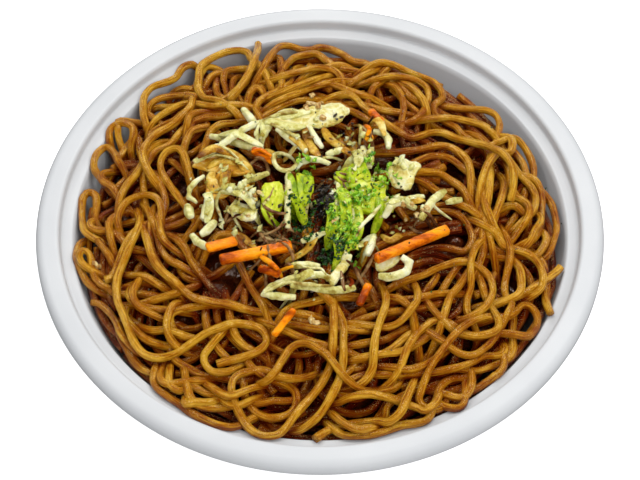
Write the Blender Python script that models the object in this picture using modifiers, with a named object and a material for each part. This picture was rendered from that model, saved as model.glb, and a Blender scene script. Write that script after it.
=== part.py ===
"""Yakisoba in a round takeaway bowl: fried noodles heaped over the rim, topped with vegetables.

Metres, +Z up. The origin is the centre of the foot, on the table. +Y points away from the eater.
Run with: blender --background --python part.py
"""

import math

import bpy
import numpy as np
from mathutils import Euler, Vector
from mathutils.bvhtree import BVHTree

# Driving dimensions.
RIM_RADIUS = 0.095
HEIGHT = 0.038
WALL = 0.0012
GAP = 0.0003
# One hundredth of the rim's radius: plan positions and small sizes below are counted in it.
U = RIM_RADIUS / 100

# Bowl: heights are counted in U downwards from the top of the rim.
RIM_INNER = 91.1
RIM_ROUND = 3.5
SKIRT_FOOT = 5.0
LEDGE_DROP = 4.8
LEDGE_INNER = 87.3
UNDERCUT = 0.6
FLOOR_RADIUS = 58.0
FLOOR_INNER_Z = 0.0027
BASE_RECESS = 0.0015
FOOT_OUTER = 58.5
FOOT_INNER = 55.0
BOWL_STEPS = 48
WALL_POINTS = 7

# Heap of noodles, in U: its radius, and its height over the rim at the middle and at the edge.
HEAP_RADIUS = 85.5
HEAP_PEAK = 10.5
HEAP_EDGE = -5.0
HEAP_POWER = 2.2
HEAP_RINGS = 13
HEAP_STEPS = 48
HEAP_CONTACT = 10.0

# Cut cabbage: name, centre, length and width, turn in degrees, thickness, height of its curl, colour.
CABBAGE = (
    ("cabbage_back", (-3.5, 36), (27, 11), 8, 1.1, 2.6, "pale"),
    ("cabbage_fan", (-34.5, 15), (20, 8), -22, 1.1, 1.4, "browned"),
    ("cabbage_browned", (-35.5, 5), (9, 10), 8, 1.2, 0.8, "browned"),
    ("cabbage_pale_left", (-26.5, -5.5), (11, 6.5), -28, 1.2, 1.2, "pale"),
    ("cabbage_left", (-16.4, -1), (8.6, 13.5), 2, 1.6, 0.5, "green"),
    ("cabbage_middle", (-5.6, 2), (6.6, 14), -4, 1.3, 1.0, "green"),
    ("cabbage_block", (17.5, -1), (13, 14), 12, 2.2, 0.6, "green"),
    ("cabbage_long", (7.3, -12.5), (8, 24), 12, 1.3, 1.6, "green"),
    ("cabbage_tip", (6.6, -30), (3.8, 13), -34, 1.6, 0.4, "pale"),
    ("cabbage_ragged", (29, 10.5), (10, 13), -18, 1.2, 1.8, "pale"),
    ("cabbage_pale_right", (15.6, 17), (7, 10.5), -6, 1.4, 0.8, "pale"),
    ("cabbage_centre", (10.5, 8), (11, 8), 24, 1.4, 1.0, "green"),
    ("cabbage_slip", (22.8, -27), (9, 4.2), 34, 1.4, 0.5, "pale"),
)

# Bean sprouts: name, thickness and the places in plan that the shoot passes through.
SPROUTS = (
    ("sprout_back_left", 3.2, ((-28, 41.5), (-25, 36.5), (-22.5, 31))),
    ("sprout_cross", 3.0, ((-39.5, 29), (-33, 26.5), (-27, 23), (-20, 20.5))),
    ("sprout_long_left", 2.9, ((-44.5, 15), (-38, 19.5), (-31, 24.5), (-25, 29.5), (-20.8, 31.6))),
    ("sprout_short_left", 3.0, ((-17.2, 31.5), (-19.2, 28), (-21.4, 25))),
    ("sprout_back_slant", 2.8, ((-15.5, 28), (-10.5, 24.5), (-4.5, 19.5))),
    ("sprout_back_hang", 2.5, ((-3.6, 29.5), (-1.7, 25.5), (0.8, 21.5))),
    ("sprout_left_curl", 2.2, ((-40.5, 10.8), (-43.8, 8), (-46, 3.8), (-45.2, 0.6), (-42.6, -1.2))),
    ("sprout_left_upper", 3.8, ((-38.5, 0.5), (-38.6, -4), (-40.4, -9.2))),
    ("sprout_left_middle", 3.6, ((-36, -9.8), (-38.4, -13.2), (-41, -15.2))),
    ("sprout_left_outer", 3.5, ((-46, -2.5), (-44.6, -8))),
    ("sprout_left_lower", 3.2, ((-44, -14.5), (-41.5, -18.5), (-36, -21.5))),
    ("sprout_slant_left", 3.0, ((-34, 1.5), (-28, 0.5), (-22.5, -4.5))),
    ("sprout_by_cabbage", 2.8, ((-27, 3), (-23, 6.5), (-18, 10))),
    ("sprout_upright", 2.6, ((-11.2, 11), (-10.9, 3), (-11.2, -6), (-11, -14))),
    ("sprout_arch", 2.6, ((-8.5, 11.5), (-6, 15), (-1.5, 16), (3.5, 13.5))),
    ("sprout_back_right", 2.8, ((2, 18), (8.5, 21))),
    ("sprout_hook_back", 3.0, ((19, 29.5), (24, 27.5), (24, 21))),
    ("sprout_clear_right", 2.4, ((29.6, -0.2), (33, 0.7), (36.4, 1.4))),
    ("sprout_arm_right", 3.2, ((22, -9.5), (25, -5.8), (29, -3.6), (33, -4.6))),
    ("sprout_far_right", 3.3, ((34.5, -9.5), (37.5, -3.5), (40, 0.5), (44, 4))),
    ("sprout_end_right", 2.8, ((43.5, -1), (49.5, 0.8))),
    ("sprout_stub_right", 3.0, ((18.5, -17.5), (16, -25))),
    ("sprout_hook_right", 3.4, ((19.5, -32.6), (24.5, -33), (29, -31.4), (30.2, -28.4), (27.5, -26.6))),
    ("sprout_browned", 2.6, ((-6.4, -19.2), (-2.6, -17.6), (1.6, -15.6))),
    ("sprout_front_flat", 3.0, ((-10.5, -29), (-5, -28.4), (0, -29.2))),
    ("sprout_front_loop", 2.9, ((3.5, -35), (-1, -32.6), (-9, -34), (-16, -37), (-18.8, -40), (-8, -41))),
    ("sprout_front_long", 3.1, ((-10, -37.8), (-3, -37.2), (4, -38.2), (12, -36.6))),
)

# Carrot sticks: name, the two ends in plan, width and thickness.
CARROTS = (
    ("carrot_left", (-34, -26.5), (-9.5, -21.2), 4.0, 2.8),
    ("carrot_right", (18.5, -28.5), (44, -12.5), 3.6, 3.0),
    ("carrot_small_left", (-38.5, -23.5), (-28.5, -18.5), 4.0, 2.0),
    ("carrot_front", (-20.5, -29.5), (-13.5, -34.5), 3.0, 2.2),
    ("carrot_back", (18, 39), (22, 31.5), 3.0, 2.4),
    ("carrot_wedge", (15.5, 31), (17.5, 23.5), 3.6, 2.2),
    ("carrot_back_left", (-24, 19), (-16, 14.5), 3.0, 2.2),
    ("carrot_strip", (-15.5, -54), (-8.5, -45), 2.6, 2.0),
    ("carrot_front_right", (16.5, -35), (13, -43), 2.8, 2.2),
)

# Colour, roughness of each surface.
SURFACES = {
    "plastic": ((0.86, 0.87, 0.87), 0.32),
    "noodle": ((0.42, 0.19, 0.025), 0.35),
    "green": ((0.50, 0.62, 0.06), 0.35),
    "pale": ((0.78, 0.76, 0.42), 0.35),
    "browned": ((0.60, 0.34, 0.05), 0.3),
    "sprout": ((0.80, 0.77, 0.55), 0.35),
    "carrot": ((0.86, 0.28, 0.02), 0.35),
}

CABBAGE_CELLS = 5
SPROUT_STEP = 3.6
SPREAD_POINTS = 8
REST_GAP = GAP + 0.0002


def material(name):
    """The Principled material of a surface, made once."""
    if name in bpy.data.materials:
        return bpy.data.materials[name]
    colour, roughness = SURFACES[name]
    made = bpy.data.materials.new(name)
    made.use_nodes = True
    shader = made.node_tree.nodes["Principled BSDF"]
    shader.inputs["Base Color"].default_value = (*colour, 1)
    shader.inputs["Roughness"].default_value = roughness
    shader.inputs["Metallic"].default_value = 0
    return made


def arc(centre, radius, first, last, steps):
    """Points of a round stretch in the profile's plane, from one angle to another in degrees."""
    angles = np.radians(np.linspace(first, last, steps))
    return [(centre[0] + radius * math.cos(a), centre[1] + radius * math.sin(a)) for a in angles]


def wall_point(t):
    """(radius, height) on the bowl's inner wall, from the floor at t 0 to the ledge at t 1."""
    bulge = math.sqrt(1 - (1 - t) ** 2)
    radius = FLOOR_RADIUS * U + (LEDGE_INNER - FLOOR_RADIUS) * U * (0.35 * t + 0.65 * bulge)
    ledge_z = HEIGHT - LEDGE_DROP * U
    return radius, FLOOR_INNER_Z + (ledge_z - FLOOR_INNER_Z) * t


def wall_offset(t, distance):
    """The wall's point at t, moved square to the wall: outwards if distance is above 0, else inwards."""
    t = min(max(t, 0.01), 0.99)
    (r0, z0), (r1, z1) = wall_point(t - 0.01), wall_point(t + 0.01)
    along = Vector((r1 - r0, z1 - z0)).normalized()
    r, z = wall_point(t)
    return r + along.y * distance, z - along.x * distance


def rim_profile():
    """The rim's points in U, from the ledge's inner edge over the top to the ledge's underside."""
    thick = WALL / U
    over = [
        (LEDGE_INNER + 0.5, -LEDGE_DROP + 0.3),
        (RIM_INNER - 0.6, -LEDGE_DROP - 0.1),
        (RIM_INNER + UNDERCUT, -LEDGE_DROP + 0.7),
        (RIM_INNER, -1.1),
        (RIM_INNER + 0.4, -0.3),
        (RIM_INNER + 1.3, 0),
    ]
    over += arc((100 - RIM_ROUND, -RIM_ROUND), RIM_ROUND, 90, 0, 5)
    over += [(100, -SKIRT_FOOT), (100 - thick, -SKIRT_FOOT)]
    under = arc((100 - RIM_ROUND, -RIM_ROUND), RIM_ROUND - thick, 0, 90, 3)
    under += [
        (RIM_INNER + 2.2, -thick),
        (RIM_INNER + 2.2, -LEDGE_DROP - 0.6),
        (RIM_INNER + 1.0, -LEDGE_DROP - thick),
    ]
    return over + under


def bowl_profile():
    """(radius, height) from the middle of the floor, up the inside, over the rim and down the outside."""
    heights = np.linspace(0, 1, WALL_POINTS) ** 1.5
    inside = [(0, FLOOR_INNER_Z)] + [wall_point(t) for t in heights]
    rim = [(r * U, HEIGHT + z * U) for r, z in rim_profile()]
    outside = [wall_offset(t, WALL) for t in heights[:0:-1]]
    foot = [
        (FOOT_OUTER * U + 0.0006, BASE_RECESS * 0.6),
        (FOOT_OUTER * U, 0),
        (FOOT_INNER * U, 0),
        (FOOT_INNER * U - 0.0012, BASE_RECESS),
        (0, BASE_RECESS),
    ]
    return inside + rim + outside + foot


def turned(name, profile, steps, surface, collection):
    """A solid turned about Z from a profile at +X that runs down its outer side."""
    mesh = bpy.data.meshes.new(name)
    mesh.from_pydata([(r, 0, z) for r, z in profile], [(i, i + 1) for i in range(len(profile) - 1)], [])
    made = bpy.data.objects.new(name, mesh)
    collection.objects.link(made)
    screw = made.modifiers.new("turn", "SCREW")
    screw.steps = steps
    screw.render_steps = steps
    screw.use_merge_vertices = True
    screw.merge_threshold = 0.00001
    screw.use_smooth_shade = True
    made.data.materials.append(material(surface))
    return made


def heap_relief(x, y):
    """The heap's slow lumps, in U, from -1 to 1 or so, at a place in U."""
    return (
        0.55 * math.sin(x / 9 + 0.8) * math.cos(y / 11 - 0.4)
        + 0.35 * math.sin((x + y) / 8 + 2.0)
        + 0.25 * math.cos((x - 1.4 * y) / 7)
    )


def heap_outline(angle):
    """How far in from its full radius the heap's edge is drawn, as a share of 1."""
    lobes = 1.6 + math.sin(3 * angle + 0.7) + 0.6 * math.sin(7 * angle + 2.0) + 0.4 * math.sin(11 * angle)
    return 1 - 0.011 * max(lobes, 0)


def make_noodles(collection):
    """The noodles as one solid: a turned heap that fills the bowl, with an uneven top and outline."""
    radii = np.linspace(0, HEAP_RADIUS, HEAP_RINGS)
    share = 1 - (radii / HEAP_RADIUS) ** HEAP_POWER
    top = [(r * U, HEIGHT + U * (HEAP_EDGE + (HEAP_PEAK - HEAP_EDGE) * s)) for r, s in zip(radii, share)]
    ledge_z = HEIGHT - LEDGE_DROP * U
    contact = 1 - (HEAP_CONTACT - LEDGE_DROP) * U / (ledge_z - FLOOR_INNER_Z)
    side = [wall_offset(t, -REST_GAP) for t in contact * np.linspace(1, 0, 6) ** 1.3]
    floor = [(0, FLOOR_INNER_Z + REST_GAP)]
    turning = turned("noodles_turning", top + side + floor, HEAP_STEPS, "noodle", collection)
    graph = bpy.context.evaluated_depsgraph_get()
    made = bpy.data.objects.new("noodles", bpy.data.meshes.new_from_object(turning.evaluated_get(graph)))
    bpy.data.objects.remove(turning)
    collection.objects.link(made)
    lowest_of_top = HEIGHT + (HEAP_EDGE - 0.1) * U
    for vertex in made.data.vertices:
        if vertex.co.z < lowest_of_top:
            continue
        reach = math.hypot(vertex.co.x, vertex.co.y) / (HEAP_RADIUS * U)
        drawn = 1 - (1 - heap_outline(math.atan2(vertex.co.y, vertex.co.x))) * reach**4
        vertex.co.x *= drawn
        vertex.co.y *= drawn
        vertex.co.z += U * heap_relief(vertex.co.x / U, vertex.co.y / U)
    return made


class Pile:
    """The solids laid so far, so that each new piece rests on those under it."""

    def __init__(self):
        self.trees = []

    def add(self, solid):
        graph = bpy.context.evaluated_depsgraph_get()
        shape = solid.evaluated_get(graph)
        mesh = shape.to_mesh()
        points = [shape.matrix_world @ v.co for v in mesh.vertices]
        self.trees.append(BVHTree.FromPolygons(points, [p.vertices[:] for p in mesh.polygons]))
        shape.to_mesh_clear()

    def height(self, x, y, reach):
        """The highest point of the pile within reach of a place, from a ring of looks straight down."""
        found = HEIGHT + HEAP_EDGE * U
        for i in range(SPREAD_POINTS + 1):
            away = reach if i else 0
            angle = 2 * math.pi * i / SPREAD_POINTS
            start = Vector((x + away * math.cos(angle), y + away * math.sin(angle), 1))
            for tree in self.trees:
                hit = tree.ray_cast(start, Vector((0, 0, -1)))[0]
                if hit is not None:
                    found = max(found, hit.z)
        return found


def smooth_route(places, step):
    """Points spread evenly, about a step apart, along a Catmull-Rom curve through the places."""
    ends = [2 * Vector(places[0]) - Vector(places[1]), 2 * Vector(places[-1]) - Vector(places[-2])]
    knots = [ends[0], *map(Vector, places), ends[1]]
    fine = []
    for a, b, c, d in zip(knots, knots[1:], knots[2:], knots[3:]):
        for t in np.linspace(0, 1, 16):
            bend = (2 * a - 5 * b + 4 * c - d) * t**2 + (3 * b - a - 3 * c + d) * t**3
            fine.append(0.5 * (2 * b + (c - a) * t + bend))
    run = np.cumsum([0] + [(q - p).length for p, q in zip(fine, fine[1:])])
    even = np.linspace(0, run[-1], max(4, round(run[-1] / step) + 1))
    across = np.interp(even, run, [p.x for p in fine])
    away = np.interp(even, run, [p.y for p in fine])
    return list(zip(across.tolist(), away.tolist()))


def taut(heights, rounds):
    """Heights of a soft strip laid over these: it bridges hollows, and never goes below what is under it."""
    line = np.array(heights)
    for _ in range(rounds):
        middle = (line[:-2] + line[2:]) / 2
        line[1:-1] = np.maximum(heights[1:-1], middle)
    return line


def make_sprout(name, thickness, places, pile, collection):
    """A bean sprout: a round shoot, thinner at its ends, lying over the pile."""
    half = thickness * U / 2
    route = smooth_route(places, SPROUT_STEP)
    under = [pile.height(x * U, y * U, half + GAP) for x, y in route]
    levels = taut(under, 3) + half + REST_GAP
    curve = bpy.data.curves.new(name, "CURVE")
    curve.dimensions = "3D"
    curve.bevel_depth = half
    curve.bevel_resolution = 1
    curve.use_fill_caps = True
    spline = curve.splines.new("POLY")
    spline.points.add(len(route) - 1)
    for i, ((x, y), z) in enumerate(zip(route, levels)):
        spline.points[i].co = (x * U, y * U, z, 1)
        inside = 0 < i < len(route) - 1
        spline.points[i].radius = 1 if inside else 0.7
    made = bpy.data.objects.new(name, curve)
    made.data.materials.append(material("sprout"))
    collection.objects.link(made)
    return made


def make_carrot(name, start, end, width, thickness, pile, collection):
    """A carrot stick: a bar with rounded edges that lies on the pile, tilted the way the pile slopes."""
    first, last = Vector(start) * U, Vector(end) * U
    along = last - first
    stations = np.linspace(0, 1, 9)
    under = [pile.height(*(first + along * s), width * U / 2 + GAP) for s in stations]
    slope, _ = np.polyfit(stations, under, 1)
    lift = max(h - slope * s for h, s in zip(under, stations))
    tilt = math.atan2(slope, along.length)
    middle = first + along / 2
    level = lift + slope / 2 + REST_GAP + thickness * U / 2 / math.cos(tilt)
    bpy.ops.mesh.primitive_cube_add(size=1)
    made = bpy.context.object
    made.name = name
    for vertex in made.data.vertices:
        vertex.co.x *= along.length / math.cos(tilt)
        vertex.co.y *= width * U
        vertex.co.z *= thickness * U
    made.location = (middle.x, middle.y, level)
    made.rotation_euler = Euler((0, -tilt, math.atan2(along.y, along.x)))
    bevel = made.modifiers.new("rounded", "BEVEL")
    bevel.width = 0.6 * U
    bevel.segments = 1
    made.data.materials.append(material("carrot"))
    for holder in list(made.users_collection):
        holder.objects.unlink(made)
    collection.objects.link(made)
    return made


def make_cabbage(name, centre, size, turn, thickness, curl, surface, pile, collection):
    """A cut piece of cabbage: a curled, uneven leaf of one thickness that drapes over the pile."""
    bpy.ops.mesh.primitive_grid_add(x_subdivisions=CABBAGE_CELLS, y_subdivisions=CABBAGE_CELLS, size=2)
    made = bpy.context.object
    made.name = name
    cos, sin = math.cos(math.radians(turn)), math.sin(math.radians(turn))
    cell = max(size) * U / CABBAGE_CELLS
    for vertex in made.data.vertices:
        u, v = vertex.co.x, vertex.co.y
        uneven = 1 + 0.09 * math.sin(5 * u + 3 * v + turn) + 0.07 * math.cos(4 * v - 2 * u + centre[0])
        x = u * size[0] / 2 * uneven * (1 - 0.10 * v * v)
        y = v * size[1] / 2 * uneven * (1 - 0.12 * u * u)
        place = Vector((centre[0] + x * cos - y * sin, centre[1] + x * sin + y * cos)) * U
        lift = curl * U * (0.6 * u * u + 0.4 * math.sin(2.2 * v + 3 * u + turn) ** 2)
        vertex.co = (place.x, place.y, pile.height(place.x, place.y, 0.55 * cell) + REST_GAP + lift)
    solid = made.modifiers.new("thickness", "SOLIDIFY")
    solid.thickness = thickness * U
    solid.offset = 1
    made.data.materials.append(material(surface))
    for holder in list(made.users_collection):
        holder.objects.unlink(made)
    collection.objects.link(made)
    return made


def main():
    for old in list(bpy.data.objects):
        bpy.data.objects.remove(old)
    collection = bpy.data.collections.new("yakisoba")
    bpy.context.scene.collection.children.link(collection)
    turned("bowl", bowl_profile(), BOWL_STEPS, "plastic", collection)
    pile = Pile()
    pile.add(make_noodles(collection))
    for row in CABBAGE:
        pile.add(make_cabbage(*row, pile, collection))
    for row in SPROUTS:
        pile.add(make_sprout(*row, pile, collection))
    for row in CARROTS:
        pile.add(make_carrot(*row, pile, collection))


main()
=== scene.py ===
import math

import bmesh
import bpy
import numpy as np
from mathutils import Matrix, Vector, noise
from mathutils.bvhtree import BVHTree


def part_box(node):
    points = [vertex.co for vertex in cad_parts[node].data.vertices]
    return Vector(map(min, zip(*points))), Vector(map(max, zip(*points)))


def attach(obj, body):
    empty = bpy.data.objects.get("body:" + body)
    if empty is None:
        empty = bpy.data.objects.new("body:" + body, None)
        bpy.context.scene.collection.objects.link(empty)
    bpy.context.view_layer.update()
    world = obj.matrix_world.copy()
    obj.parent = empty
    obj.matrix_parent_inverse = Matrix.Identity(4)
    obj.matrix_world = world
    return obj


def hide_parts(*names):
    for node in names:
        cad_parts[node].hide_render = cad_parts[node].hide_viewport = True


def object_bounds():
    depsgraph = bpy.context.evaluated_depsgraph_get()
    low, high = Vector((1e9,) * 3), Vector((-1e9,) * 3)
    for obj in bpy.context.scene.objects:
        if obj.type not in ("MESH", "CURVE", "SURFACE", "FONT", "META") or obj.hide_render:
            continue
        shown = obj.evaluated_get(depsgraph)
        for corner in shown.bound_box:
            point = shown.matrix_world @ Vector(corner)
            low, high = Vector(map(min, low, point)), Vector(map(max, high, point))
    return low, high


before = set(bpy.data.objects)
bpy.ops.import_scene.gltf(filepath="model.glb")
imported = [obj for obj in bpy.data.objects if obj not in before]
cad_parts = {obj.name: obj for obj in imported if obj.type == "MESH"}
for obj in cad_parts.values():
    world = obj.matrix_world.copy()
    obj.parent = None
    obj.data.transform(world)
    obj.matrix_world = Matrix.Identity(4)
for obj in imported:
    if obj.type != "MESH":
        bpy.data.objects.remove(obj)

cad_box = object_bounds()

# The frame gives the scale: U is one hundredth of the rim's radius. Plan places and sizes are in U,
# and heights are counted in U from the top of the rim.
BOWL_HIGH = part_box("bowl")[1]
U = BOWL_HIGH.x / 100
RIM_TOP = BOWL_HIGH.z

# Camera, in U: it looks along +Y and down, at a point a little on the near side of the middle.
CAMERA_ELEVATION = math.radians(54.62)
CAMERA_DISTANCE = 640
CAMERA_AIM_Y = -10.45
CAMERA_LENS = 103.3

# Bowl profile, in U below the rim's top, as in the CAD model.
RIM_INNER = 91.1
RIM_ROUND = 3.5
SKIRT_FOOT = 5.0
LEDGE_DROP = 4.8
LEDGE_INNER = 87.3
FLOOR_RADIUS = 58.0
FLOOR_INNER = 0.0027
BASE_RECESS = 0.0015
FOOT_OUTER = 58.5
FOOT_INNER = 55.0
WALL = 0.0012

# Heap: its top over the rim at the middle and at its edge, in U, and how deep its core lies.
HEAP_RADIUS = 86.0
HEAP_PEAK = 10.8
HEAP_EDGE = -4.0
HEAP_POWER = 2.2
CORE_DEPTH = 10.0

# Dark sauce that stands in the hollows: place, radius, and how far it rises over the core.
POOLS = (((-36, -33), 7, 6), ((-22, 15), 5, 5), ((47, -11), 4, 5), ((38, -17), 4, 4), ((30, 29), 4.5, 4.5),
         ((-9, -28), 5, 3), ((2, 24), 5, 3), ((-18, -15), 7, 4), ((3, -20), 6, 3))

# Noodle: half its thickness, the spacing of its rings, the points round it, how square it is, and how
# tightly it bends where it sags.
NOODLE_HALF = 1.4
RING_STEP = 1.2
RING_POINTS = 10
SQUARENESS = 2.7
SAG = 0.018

# Noodles under the ones that show: how many, how many places are tried for each, how far they stay
# below the heap's top, the reach from which the bowl's wall turns them back, how often they curl
# tightly, and by how many radians in each U.
FILL_STRANDS = 190
FILL_TRIES = 3
FILL_BELOW = 2.4
WALL_FELT = 66
CURL_CHANCE = 0.16
CURL_BENDS = (0.12, 0.19)
SEED = 11

# Toppings: the scale of the slow noise that lifts a leaf, the spacing of a shred's rings, how far out
# flakes fall, in U, and how far they may stand over the CAD model, in metres.
LIFT_SCALE = 260
SHRED_STEP = 0.7
FLAKE_REACH = 86
FLAKE_RISE = 0.0013

# Height field's cells, and a height that nothing reaches, in U.
CELL = 0.5
FIELD_HALF = 92.0
OPEN = 99.0

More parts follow.
